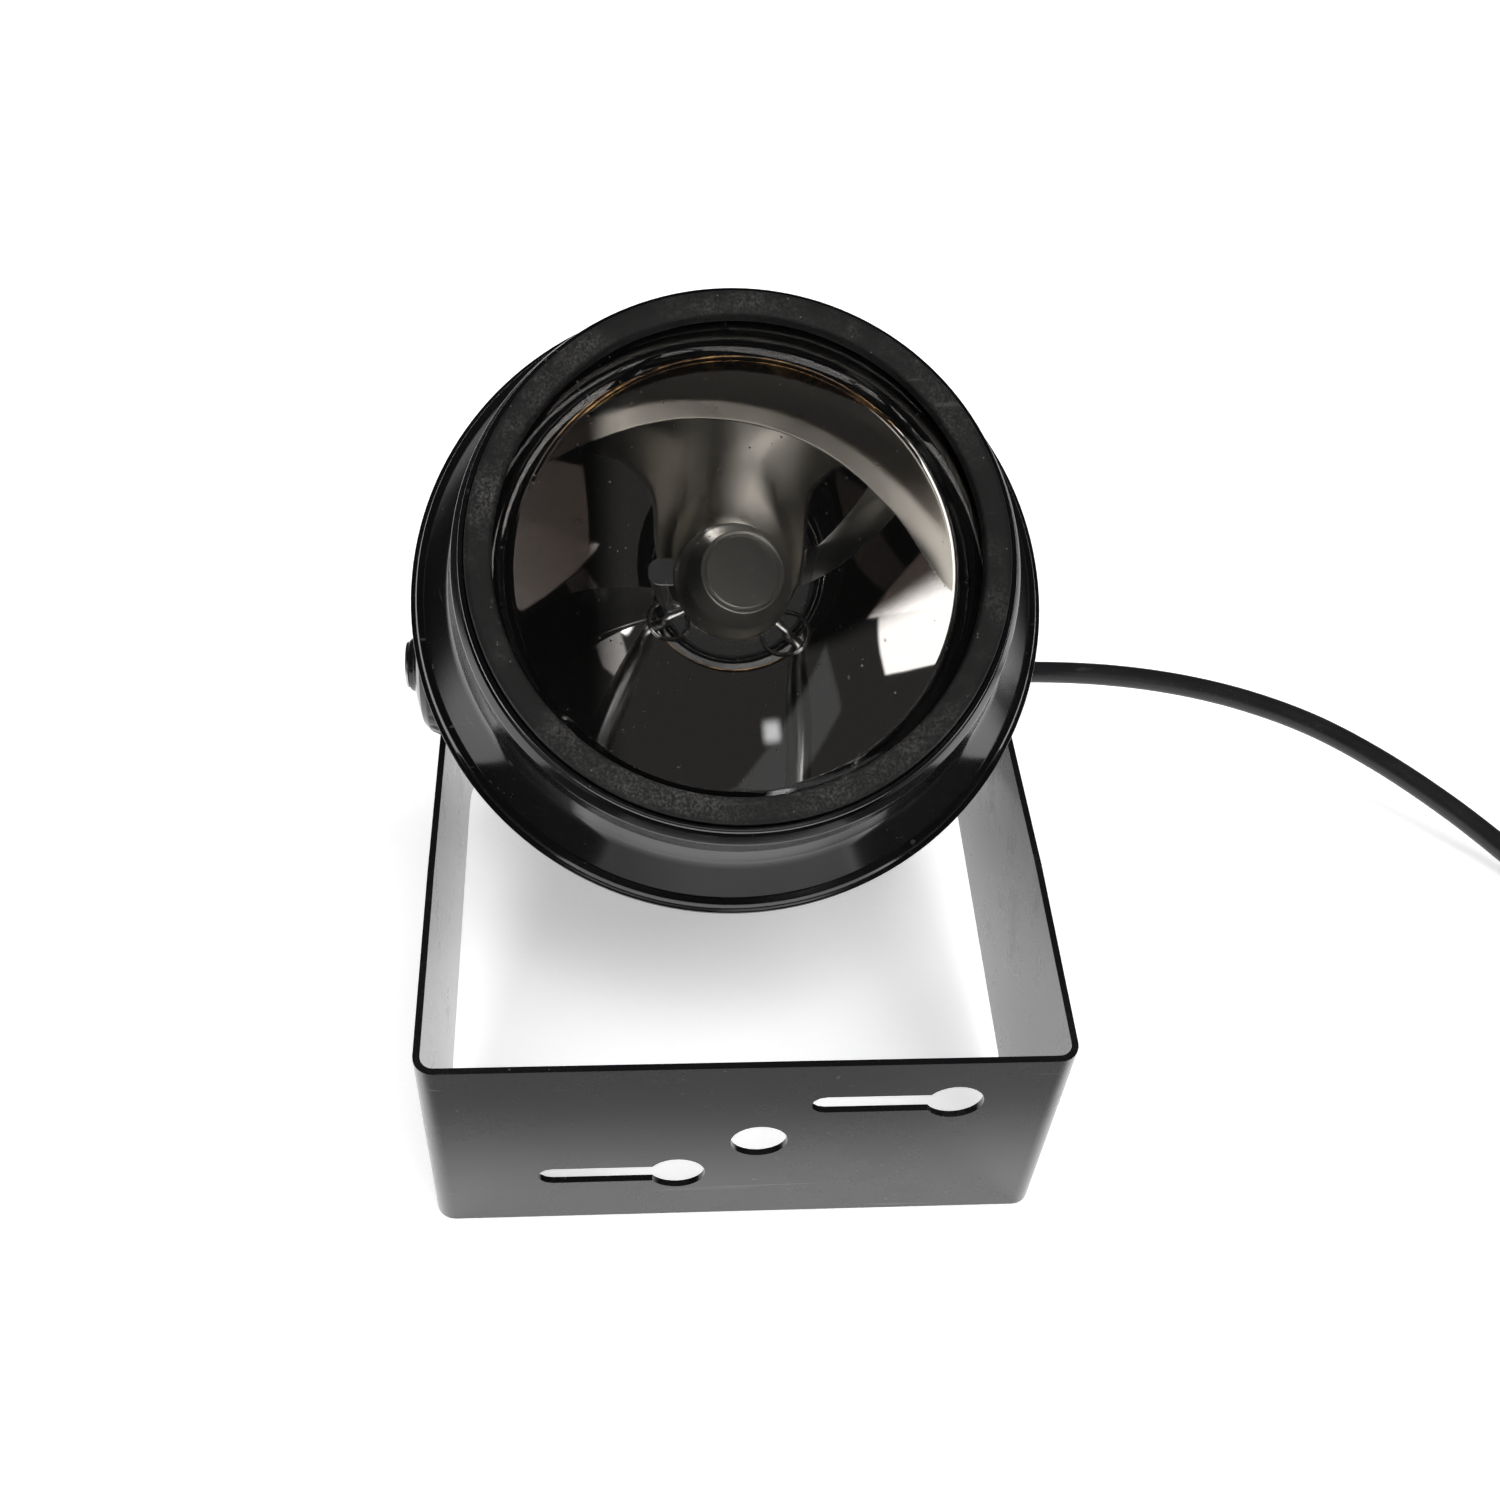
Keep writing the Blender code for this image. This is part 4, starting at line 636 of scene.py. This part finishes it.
def bowl_mirror():
    """Evaporated aluminium on pressed glass, rippled, brown along its upper edge, and darkened with painted
    shade on the left.
    """
    made, tree, shader = new_material("bowl_mirror", BOWL_TONE, BOWL_ROUGHNESS, 1)
    ripple(tree, shader, BOWL_RIPPLE)
    spot = node(tree, "ShaderNodeTexCoord").outputs["Object"]
    out = node(tree, "ShaderNodeVectorMath", {0: spot, 1: PIVOT}, operation="SUBTRACT").outputs[0]
    across, up, level = [
        node(tree, "ShaderNodeVectorMath", {0: out, 1: axis}, operation="DOT_PRODUCT").outputs["Value"]
        for axis in HEAD.to_3x3().transposed()
    ]
    sag = remap(tree, up, *COATING_SAG_FROM, 0, COATING_SAG)
    edge = maths(tree, "ADD", level, maths(tree, "MULTIPLY", noise(tree, spot, WANDER_SCALE), COATING_WANDER))
    coated = remap(tree, edge, BOWL_TOP + COATING_FADE, BOWL_TOP)
    full = remap(tree, maths(tree, "ADD", edge, sag), BOWL_TOP + COATING_FADE, BOWL_TOP)
    streaks = remap(tree, noise(tree, spot, *STREAK_NOISE), *STREAK_EDGE)
    brown = mixed(tree, streaks, (*COATING_DARK, 1), (*COATING_EDGE, 1))
    # Painted shade: the mirror darkened towards a near black tone on its left side
    thin = remap(tree, across, *BOWL_LEFT_PAINTED_SHADE_FROM, BOWL_LEFT_PAINTED_SHADE, 1)
    tone = mixed(tree, thin, (*BOWL_PAINTED_SHADE_TONE, 1), (*BOWL_TONE, 1))
    tone = mixed(tree, full, brown, tone)
    tree.links.new(mixed(tree, coated, (*BARE_GLASS, 1), tone), shader.inputs["Base Color"])
    tree.links.new(coated, shader.inputs["Metallic"])
    return made


def bead_glass():
    """The thick glass fused round each post, silvered like the bowl."""
    made, tree, shader = new_material("bead_glass", BEAD_TONE, BEAD_ROUGHNESS, 1)
    ripple(tree, shader, (PEEL_DEPTH, PEEL_DEPTH, PEEL_SCALE))
    return made


def shield_metal():
    """The glare shield's satin metal."""
    return dressed("shield_metal", SHIELD_FINISH)[0]


def plated_steel():
    """Bright zinc plating, a little dull."""
    return dressed("plated_steel", STEEL_FINISH)[0]


def core_laminations():
    """The blued steel of the transformer's core."""
    return dressed("core_laminations", CORE_FINISH)[0]


def coil_wrap():
    """The winding's amber tape."""
    return dressed("coil_wrap", COIL_FINISH)[0]


def lead_insulation():
    """The inner leads' pale glass sleeve."""
    return dressed("lead_insulation", LEAD_FINISH)[0]


def knob_plastic():
    """Hard glossy black plastic."""
    return dressed("knob_plastic", KNOB_FINISH)[0]


def cord_plastic():
    """The cord's softer black vinyl."""
    return dressed("cord_plastic", CORD_FINISH)[0]


def plug_brass():
    """The plug's brass blades."""
    return dressed("plug_brass", BRASS_FINISH)[0]


def filleted(corners):
    """An outline through corners (radius, height, rounding), each rounded where it has a rounding."""
    points = []
    count = len(corners)
    for index, (radius, height, rounding) in enumerate(corners):
        here = Vector((radius, height))
        if not rounding:
            points.append(here)
            continue
        before = Vector(corners[index - 1][:2]) - here
        after = Vector(corners[(index + 1) % count][:2]) - here
        half = before.angle(after) / 2
        reach = min(rounding / math.tan(half), before.length * FILLET_SHARE, after.length * FILLET_SHARE)
        start = here + before.normalized() * reach
        end = here + after.normalized() * reach
        for step in range(FILLET_STEPS + 1):
            share = step / FILLET_STEPS
            points.append(start * (1 - share) ** 2 + here * 2 * share * (1 - share) + end * share**2)
    return points


def turned(name, corners, matrix=HEAD, steps=RING_STEPS, ring=True):
    """A mesh turned about Z from an outline, closed as a ring or on the axis."""
    bm = bmesh.new()
    verts = [bm.verts.new((point[0], 0, point[1])) for point in filleted(corners)]
    edges = [bm.edges.new(pair) for pair in zip(verts, verts[1:])]
    if ring:
        edges.append(bm.edges.new((verts[-1], verts[0])))
    bmesh.ops.spin(bm, geom=verts + edges, cent=(0, 0, 0), axis=(0, 0, 1), angle=math.tau, steps=steps)
    bmesh.ops.remove_doubles(bm, verts=bm.verts, dist=TURN_MERGE)
    bmesh.ops.recalc_face_normals(bm, faces=bm.faces)
    mesh = bpy.data.meshes.new(name)
    bm.to_mesh(mesh)
    bm.free()
    mesh.transform(matrix)
    mesh.shade_smooth()
    return mesh


def place(name, mesh, material, slot, body, *nodes):
    """A piece that stands for CAD nodes and moves with a body."""
    piece = bpy.data.objects.new(name, mesh)
    bpy.context.scene.collection.objects.link(piece)
    mesh.materials.clear()
    mesh.materials.append(material)
    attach(piece, body)
    if nodes:
        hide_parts(*nodes)
    return piece


def section(rows, level=0.0):
    """An outline's corners in metres, raised to a level."""
    return [(radius * MM, level + height * MM, rounding * MM) for radius, height, rounding in rows]


def make_cover():
    """The spun ring: two beads under the lip, a neck, a flared skirt and a double rolled rim."""
    mesh = turned("front_cover_spun", section(COVER_SECTION, OPENING))
    place("front_cover_spun", mesh, cover_paint(), "black_paint", "head", "front_cover")


def make_gasket():
    """The rubber ring round the opening, with a rolled face."""
    mesh = turned("gasket_band", section(GASKET_SECTION, OPENING))
    place("gasket_band", mesh, gasket_rubber(), "black_rubber", "head", "gasket_ring")


def make_lens():
    """The domed glass front with its flat rim."""
    radius = GASKET_BORE - SEAT_GAP
    sphere = (radius**2 + LENS_CROWN**2) / (2 * LENS_CROWN)
    angles = [math.asin(radius / sphere) * step / DOME_STEPS for step in range(DOME_STEPS + 1)]
    centre = LENS_RIM + LENS_CROWN - sphere
    dome = [(sphere * math.sin(angle), centre + sphere * math.cos(angle), 0) for angle in angles]
    back = [(reach, height - LENS_GLASS, 0) for reach, height, _ in reversed(dome)]
    rim = [(LAMP_RADIUS, LENS_RIM, SEAT_GAP), (LAMP_RADIUS, LENS_RIM - LENS_GLASS, SEAT_GAP)]
    mesh = turned("lens_dome", dome + rim + back, ring=False)
    place("lens_dome", mesh, lens_glass(), "lamp_glass", "head", "lamp_lens")


def bowl(reach, vertex):
    """Corners along the lamp's parabola, from the axis to a reach."""
    radii = [reach * step / BOWL_STEPS for step in range(BOWL_STEPS + 1)]
    return [(radius, vertex + radius**2 / (4 * FOCAL_LENGTH), 0) for radius in radii]


def make_reflector():
    """The pressed bowl: a parabola under a straight wall that is sealed to the lens."""
    back = REFLECTOR_VERTEX - REFLECTOR_GLASS
    wall = REFLECTOR_RADIUS + REFLECTOR_WALL
    rim_back = REFLECTOR_FRONT - REFLECTOR_RIM
    rim = [(REFLECTOR_RADIUS, REFLECTOR_FRONT - SEAL_FLARE_DEPTH, 0)]
    rim += [(REFLECTOR_RADIUS + SEAL_FLARE, REFLECTOR_FRONT, SEAT_GAP)]
    rim += [(LAMP_RADIUS, level, SEAT_GAP) for level in (REFLECTOR_FRONT, rim_back)]
    rim += [(wall, rim_back, 0)]
    corners = bowl(REFLECTOR_RADIUS, REFLECTOR_VERTEX) + rim + bowl(wall, back)[::-1]
    mesh = turned("reflector_bowl", corners, ring=False)
    place("reflector_bowl", mesh, bowl_mirror(), "lamp_mirror", "head", "lamp_reflector")


def table_cloth():
    """White cloth that shows white to the eye, in metal and through glass, and keeps the lamp's shadow.

    In glossy surfaces it ends a little beyond the lamp, and in front of the lamp it carries painted shade.
    """
    made, tree, shader = new_material("table_cloth", CLOTH_TONE, CLOTH_ROUGHNESS)
    shader.inputs["Specular IOR Level"].default_value = 0
    shader.inputs["Emission Color"].default_value = (1, 1, 1, 1)
    place = node(tree, "ShaderNodeTexCoord").outputs["Object"]
    sources = {"Strength": WEAVE_DEPTH, "Distance": WEAVE_HEIGHT, "Height": noise(tree, place, *WEAVE_NOISE)}
    tree.links.new(node(tree, "ShaderNodeBump", sources).outputs[0], shader.inputs["Normal"])
    path = node(tree, "ShaderNodeLightPath")
    spread = node(tree, "ShaderNodeSeparateXYZ", {0: place})
    cloth_with_painted_shade = remap(tree, maths(tree, "ABSOLUTE", spread.outputs[0]), *CLOTH_EDGE, 1, 0)
    # Painted shade: the cloth that glossy surfaces and bounced light see is darkened in front of the lamp
    cloth_with_painted_shade = maths(tree, "MULTIPLY", cloth_with_painted_shade, remap(tree, spread.outputs[1], *CLOTH_PAINTED_SHADE_FRONT, CLOTH_PAINTED_SHADE_LEVEL, 1))
    shown = maths(tree, "MAXIMUM", path.outputs["Is Camera Ray"], path.outputs["Is Transmission Ray"])
    seen = maths(tree, "MAXIMUM", shown, maths(tree, "MULTIPLY", cloth_with_painted_shade, path.outputs["Is Glossy Ray"]))
    away = node(tree, "ShaderNodeVectorMath", {0: place}, operation="LENGTH").outputs["Value"]
    glow = remap(tree, away, *FLOOR_FAR, FLOOR_GLOW, 1)
    tree.links.new(maths(tree, "MULTIPLY", seen, glow), shader.inputs["Emission Strength"])
    tone = mixed(tree, maths(tree, "MAXIMUM", shown, cloth_with_painted_shade), (*TABLE_TONE, 1), (*CLOTH_TONE, 1))
    tree.links.new(tone, shader.inputs["Base Color"])
    return made


def joined(name, *parts):
    """One mesh out of several closed ones."""
    bm = bmesh.new()
    for part in parts:
        bm.from_mesh(part)
        bpy.data.meshes.remove(part)
    mesh = bpy.data.meshes.new(name)
    bm.to_mesh(mesh)
    bm.free()
    mesh.shade_smooth()
    return mesh


def side_turn(sign):
    """The frame of the pivot on one side, with Z along it and out."""
    return HEAD @ Matrix.Rotation(sign * math.pi / 2, 4, "Y")


def steady(mesh):
    """Smooth shading that keeps flat faces flat: each corner leans to its largest faces."""
    lean = [Vector() for _ in mesh.vertices]
    for face in mesh.polygons:
        for index in face.vertices:
            lean[index] += face.normal * face.area
    mesh.shade_smooth()
    mesh.normals_split_custom_set_from_vertices([normal.normalized() for normal in lean])


def softened(node_name, segments=2):
    """A copy of a CAD node with merged faces and rounded edges."""
    source = NODES[node_name]
    mesh = source.data.copy()
    mesh.transform(source.matrix_world)
    bm = bmesh.new()
    bm.from_mesh(mesh)
    bmesh.ops.remove_doubles(bm, verts=bm.verts, dist=MERGE)
    bmesh.ops.dissolve_limit(bm, angle_limit=FLAT_ANGLE, verts=bm.verts, edges=bm.edges)
    sharp = [edge for edge in bm.edges if edge.is_manifold and edge.calc_face_angle(0) > SOFT_ANGLE]
    bevel = {"offset": BEVELS.get(node_name, BEVEL_SMALL), "segments": segments, "profile": BEVEL_ROUND}
    bmesh.ops.bevel(bm, geom=sharp, affect="EDGES", clamp_overlap=True, **bevel)
    bm.to_mesh(mesh)
    bm.free()
    steady(mesh)
    return mesh


def make_yoke():
    """The bent strip, its cut edges a little rounded by the paint."""
    mesh = softened("yoke_bracket")
    place("yoke_bracket_painted", mesh, bracket_paint(), "black_paint", "yoke", "yoke_bracket")


def make_housing():
    """The spun can behind the cover, with a flat boss at each pivot."""
    parts = [turned("can", section(HOUSING_SECTION, HOUSING_BACK), ring=False)]
    for sign in (-1, 1):
        parts.append(turned("boss", section(BOSS_SECTION), side_turn(sign), SMALL_STEPS))
    place("rear_can", joined("rear_can", *parts), cover_paint(), "black_paint", "head", "rear_housing")


def make_shield():
    """The glare shield: a round cap with a bare front and a thin raised ring, on a strip that holds it."""
    pose = HEAD @ Matrix.Translation((0, 0, SHIELD_MIDDLE)) @ Matrix.Rotation(SHIELD_LEAN, 4, "Y")
    mesh = turned("shield_cap", section(SHIELD_SECTION), pose, SMALL_STEPS, ring=False)
    place("shield_cap", mesh, shield_metal(), "lamp_mirror", "head", "glare_shield")
    place("shield_strip", softened("shield_leg"), plated_steel(), "plated_steel", "head", "shield_leg")


def rod(name, points, radius, sides=ROD_SIDES):
    """A smooth bent rod through points in the head's frame, as a mesh."""
    mesh = tube(name, points, radius, sides)
    mesh.transform(HEAD)
    return mesh


def post_places():
    """Where the lamp's two posts stand, left then right."""
    for side, sign in (("left", -1), ("right", 1)):
        angle = POST_TURN if sign > 0 else math.pi + POST_TURN
        yield side, sign, (POST_SPREAD * math.cos(angle), POST_SPREAD * math.sin(angle) - POST_DROP)


def make_lamp_inside():
    """The posts, the filament, and the beads of fused glass round the posts."""
    steel = plated_steel()
    focus = REFLECTOR_VERTEX + FOCAL_LENGTH
    seat = REFLECTOR_VERTEX + POST_SPREAD**2 / (4 * FOCAL_LENGTH)
    beads = dict(SEAL_RINGS)
    for side, sign, (across, up) in post_places():
        foot = Vector((across, up, REFLECTOR_VERTEX - REFLECTOR_GLASS))
        knee = Vector((across, up, seat + POST_RISE))
        tip = Vector((sign * FILAMENT_HALF, 0, focus))
        bend = smooth_route([foot, knee, (knee + tip) / 2, tip], POST_RADIUS)
        post = rod(f"post_{side}", bend, POST_RADIUS)
        place(f"post_{side}", post, steel, "plated_steel", "head", f"lamp_post_{side}")
        reach = beads[side]
        circle = [math.tau * step / SMALL_STEPS for step in range(SMALL_STEPS + 1)]
        ring = [(across + reach * math.cos(angle), up + reach * math.sin(angle)) for angle in circle]
        ring = [Vector((x, y, REFLECTOR_VERTEX + (x * x + y * y) / (4 * FOCAL_LENGTH))) for x, y in ring]
        bead = rod(f"seal_bead_{side}", ring, SEAL_BEAD)
        place(f"seal_bead_{side}", bead, bead_glass(), "lamp_glass", "head")
    turns = [math.tau * step / FILAMENT_STEPS for step in range(FILAMENT_STEPS * FILAMENT_TURNS + 1)]
    along = [FILAMENT_HALF * (2 * step / (len(turns) - 1) - 1) for step in range(len(turns))]
    coil = [
        Vector((x, FILAMENT_COIL * math.cos(angle), focus + FILAMENT_COIL * math.sin(angle)))
        for x, angle in zip(along, turns)
    ]
    wire = rod("filament_coil", coil, FILAMENT_WIRE, FILAMENT_SIDES)
    place("filament_coil", wire, steel, "plated_steel", "head", "filament")


def grown(name, mesh, made, sizes):
    """The plain mesh that a Geometry Nodes tree makes out of a mesh and its named sizes."""
    tree, sockets = made
    holder = bpy.data.objects.new(name, mesh)
    bpy.context.scene.collection.objects.link(holder)
    modifier = holder.modifiers.new(name, "NODES")
    modifier.node_group = tree
    for label, value in sizes.items():
        modifier[sockets[label].identifier] = value
    result = bpy.data.meshes.new_from_object(holder.evaluated_get(bpy.context.evaluated_depsgraph_get()))
    holder.modifiers.remove(modifier)
    bpy.data.objects.remove(holder)
    return result


def shape_tree(name, rows):
    """A Geometry Nodes tree with a Geometry input and named ones, its sockets by name, and its two ends."""
    tree = bpy.data.node_groups.new(name, "GeometryNodeTree")
    tree.interface.new_socket(name="Geometry", in_out="INPUT", socket_type="NodeSocketGeometry")
    sockets = {
        label: tree.interface.new_socket(name=label, in_out="INPUT", socket_type=f"NodeSocket{kind}")
        for label, kind in rows
    }
    tree.interface.new_socket(name="Geometry", in_out="OUTPUT", socket_type="NodeSocketGeometry")
    return tree, sockets, tree.nodes.new("NodeGroupInput").outputs, tree.nodes.new("NodeGroupOutput").inputs


def surfaced(tree, shape, given, result):
    """End a tree: real copies, with the surface that it was given."""
    real = node(tree, "GeometryNodeRealizeInstances", {0: shape.outputs[0]})
    sources = {"Geometry": real.outputs[0], "Material": given["Surface"]}
    tree.links.new(node(tree, "GeometryNodeSetMaterial", sources).outputs[0], result[0])


def grip_tree():
    """Geometry Nodes: straight hollows round a turned knob, pressed in to a depth where the knob is wider."""
    rows = (("Flutes", "Float"), ("Radius", "Float"), ("Depth", "Float"), ("Surface", "Material"))
    tree, sockets, given, result = shape_tree("knob_grip", rows)
    spot = node(tree, "ShaderNodeSeparateXYZ", {0: tree.nodes.new("GeometryNodeInputPosition").outputs[0]})
    x, y, z = spot.outputs
    wave = maths(tree, "COSINE", maths(tree, "MULTIPLY", maths(tree, "ARCTAN2", y, x), given["Flutes"]))
    press = maths(tree, "MULTIPLY", maths(tree, "MAXIMUM", wave, 0), given["Depth"])
    limit = maths(tree, "SUBTRACT", given["Radius"], press)
    flat = node(tree, "ShaderNodeCombineXYZ", {0: x, 1: y})
    reach = node(tree, "ShaderNodeVectorMath", {0: flat.outputs[0]}, operation="LENGTH").outputs["Value"]
    share = maths(tree, "DIVIDE", maths(tree, "MINIMUM", reach, limit), reach)
    sources = {0: maths(tree, "MULTIPLY", x, share), 1: maths(tree, "MULTIPLY", y, share), 2: z}
    moved = node(tree, "ShaderNodeCombineXYZ", sources)
    sources = {"Geometry": given["Geometry"], "Position": moved.outputs[0]}
    surfaced(tree, node(tree, "GeometryNodeSetPosition", sources), given, result)
    return tree, sockets


def screw_tree():
    """Geometry Nodes: a slot cut across a turned screw, and copies of the screw evenly round an axis."""
    rows = (
        ("Screws", "Int"), ("Reach", "Float"), ("Slot", "Vector"), ("Slot Place", "Vector"),
        ("Surface", "Material"),
    )
    tree, sockets, given, result = shape_tree("flange_screws", rows)
    block = node(tree, "GeometryNodeMeshCube", {"Size": given["Slot"]})
    sources = {"Geometry": block.outputs[0], "Translation": given["Slot Place"], "Rotation": SLOT_TURN}
    slot = node(tree, "GeometryNodeTransform", sources)
    sources = {0: given["Geometry"], 1: slot.outputs[0]}
    cut = node(tree, "GeometryNodeMeshBoolean", sources, operation="DIFFERENCE")
    circle = node(tree, "GeometryNodeMeshCircle", {"Vertices": given["Screws"], "Radius": given["Reach"]})
    sources = {"Points": circle.outputs[0], "Instance": cut.outputs[0]}
    surfaced(tree, node(tree, "GeometryNodeInstanceOnPoints", sources), given, result)
    return tree, sockets


def crisp(mesh):
    """Smooth shading that stops at sharp edges."""
    mesh.shade_smooth()
    mesh.set_sharp_from_angle(angle=CRISP_ANGLE)


def make_screws():
    """The screws that hold the cover, with domed slotted heads under the flange."""
    steel = plated_steel()
    blank = turned("screw_blank", section(SCREW_SECTION), Matrix(), SCREW_STEPS, ring=False)
    sizes = {"Screws": COVER_SCREWS, "Reach": COVER_SCREW_REACH, "Slot": SLOT_SIZE, "Slot Place": SLOT_PLACE}
    mesh = grown("screw_work", blank, screw_tree(), {**sizes, "Surface": steel})
    mesh.transform(HEAD @ Matrix.Translation((0, 0, COVER_SCREW_SEAT)) @ Matrix.Rotation(math.pi / 2, 4, "Z"))
    crisp(mesh)
    names = [f"cover_screw_{number + 1}" for number in range(COVER_SCREWS)]
    place("cover_screws_slotted", mesh, steel, "plated_steel", "head", *names)


def make_fittings():
    """The washers, nuts and inner pieces, with softened edges and their own finishes."""
    for finish, slot, body, names in (
        (plated_steel(), "plated_steel", "head", HEAD_STEEL),
        (gasket_rubber(), "black_rubber", "head", ("pivot_washer_left", "pivot_washer_right")),
        (core_laminations(), "core_steel", "head", ("transformer_core",)),
        (coil_wrap(), "coil_tape", "head", ("transformer_coil",)),
        (lead_insulation(), "lead_plastic", "head", ("lead_wire_left", "lead_wire_right", "mains_lead")),
        (plated_steel(), "plated_steel", "knob_left", ("knob_washer_left",)),
        (plated_steel(), "plated_steel", "knob_right", ("knob_washer_right",)),
    ):
        for name in names:
            place(f"{name}_finished", softened(name), finish, slot, body, name)


def make_knobs():
    """The round tilt knobs with a fluted grip, each on a stud with a domed cap."""
    plastic, steel = knob_plastic(), plated_steel()
    sizes = {"Flutes": KNOB_FLUTES, "Radius": KNOB_RADIUS, "Depth": FLUTE_DEPTH, "Surface": plastic}
    for side, sign in (("left", -1), ("right", 1)):
        body = turned("knob_body", section(KNOB_SECTION, KNOB_BASE), Matrix(), KNOB_STEPS)
        knob = grown("knob_work", body, grip_tree(), sizes)
        knob.transform(side_turn(sign))
        crisp(knob)
        place(f"knob_fluted_{side}", knob, plastic, "knob_plastic", f"knob_{side}", f"knob_{side}")
        pin = turned("stud", section(STUD_SECTION, KNOB_BASE), side_turn(sign), SMALL_STEPS, ring=False)
        place(f"stud_capped_{side}", pin, steel, "plated_steel", f"knob_{side}", f"knob_stud_{side}")


def make_relief():
    """The ribbed sleeve that guides the cord out of the can's back."""
    rows = [*RELIEF_SECTION]
    wide, narrow = RELIEF_TAPER
    outer, inner, tip = RELIEF_EDGES
    rows += [(RELIEF_SECTION[-1][0], -RELIEF_COLLAR, outer), (wide, -RELIEF_COLLAR, inner)]
    for index in range(RELIEF_RIBS):
        share = (index + 1 / 2) / RELIEF_RIBS
        radius = wide + (narrow - wide) * share
        level = -RELIEF_COLLAR - RELIEF_LENGTH * share
        rows += [(radius + step, level + rise, rounding) for step, rise, rounding in RELIEF_RIB]
    end = (RELIEF_END[2] - HOUSING_BACK) / MM
    rows += [(narrow, end, tip), (0, end, 0)]
    seat = HEAD @ Matrix.Translation((RELIEF_END[0], RELIEF_END[1], 0))
    mesh = turned("relief_sleeve", section(rows, HOUSING_BACK), seat, SMALL_STEPS, ring=False)
    place("relief_sleeve", mesh, cord_plastic(), "cord_plastic", "head", "strain_relief")


def make_plug():
    """The moulded plug, its blades and pin, and the tie, with softened edges."""
    plastic, brass = cord_plastic(), plug_brass()
    pieces = []
    for name in PLUG_PIECES:
        surface, slot = (brass, "plug_brass") if name in PLUG_METAL else (plastic, "cord_plastic")
        mesh = softened(name, PLUG_BEVEL_STEPS)
        pieces.append(place(f"{name}_soft", mesh, surface, slot, "yoke", name))
    return pieces


def make_floor():
    """A wide white table."""
    mesh = bpy.data.meshes.new("table")
    reach = FLOOR_REACH
    corners = [(x * reach, y * reach, 0) for x, y in ((-1, -1), (1, -1), (1, 1), (-1, 1))]
    mesh.from_pydata(corners, [], [(0, 1, 2, 3)])
    table = bpy.data.objects.new("table", mesh)
    bpy.context.scene.collection.objects.link(table)
    mesh.materials.append(table_cloth())


def area_light(name, spot, size, power, shiny):
    """A soft square light that faces the lamp, seen in shiny surfaces or not."""
    data = bpy.data.lights.new(name, "AREA")
    data.shape = "SQUARE"
    data.size = size
    data.energy = power
    light = bpy.data.objects.new(name, data)
    bpy.context.scene.collection.objects.link(light)
    light.location = spot
    light.rotation_euler = (PIVOT - Vector(spot)).to_track_quat("-Z", "Y").to_euler()
    light.visible_glossy = shiny
    light.visible_transmission = shiny


def soft_band(tree, value, middle, half, edge):
    """One within a half width of the middle, fading to zero over a soft edge."""
    away = maths(tree, "ABSOLUTE", maths(tree, "SUBTRACT", value, middle))
    return remap(tree, away, half + edge, half)


def make_room():
    """A dark room with a pale horizon and bright panes, by bearing from the viewer and by height."""
    world = bpy.data.worlds.new("room")
    world.use_nodes = True
    bpy.context.scene.world = world
    tree = world.node_tree
    ground = tree.nodes["Background"]
    way = node(tree, "ShaderNodeSeparateXYZ", {0: node(tree, "ShaderNodeTexCoord").outputs["Generated"]})
    bearing = maths(tree, "ARCTAN2", way.outputs[0], maths(tree, "MULTIPLY", way.outputs[1], -1.0))
    height = maths(tree, "ARCSINE", way.outputs[2])
    level = remap(tree, height, *ROOM_HORIZON, ROOM_PALE, ROOM_DARK)
    for *angles, lean, strength in ROOM_PANES:
        side, rise, half_side, half_rise, edge = (math.radians(angle) for angle in angles)
        across = soft_band(tree, bearing, side, half_side, edge)
        slope = maths(tree, "MULTIPLY", maths(tree, "SUBTRACT", bearing, side), lean)
        along = soft_band(tree, maths(tree, "ADD", height, slope), rise, half_rise, edge)
        pane = maths(tree, "MULTIPLY", maths(tree, "MULTIPLY", across, along), strength)
        level = maths(tree, "MAXIMUM", level, pane)
    path = node(tree, "ShaderNodeLightPath")
    level = maths(tree, "MAXIMUM", level, path.outputs["Is Camera Ray"])
    tree.links.new(level, ground.inputs["Strength"])
    ground.inputs["Color"].default_value = (1, 1, 1, 1)


def make_lights():
    """Broad soft lamps above the viewer and to both sides, and the room."""
    for name, spot, size, power, shiny in LAMPS:
        area_light(name, spot, size, power, shiny)
    make_room()


make_camera()
make_cord()
make_yoke()
make_cover()
make_gasket()
make_lens()
make_reflector()
make_shield()
make_lamp_inside()
make_housing()
make_knobs()
make_screws()
make_fittings()
make_relief()
make_floor()
make_lights()
bpy.context.scene.view_settings.view_transform = "Standard"
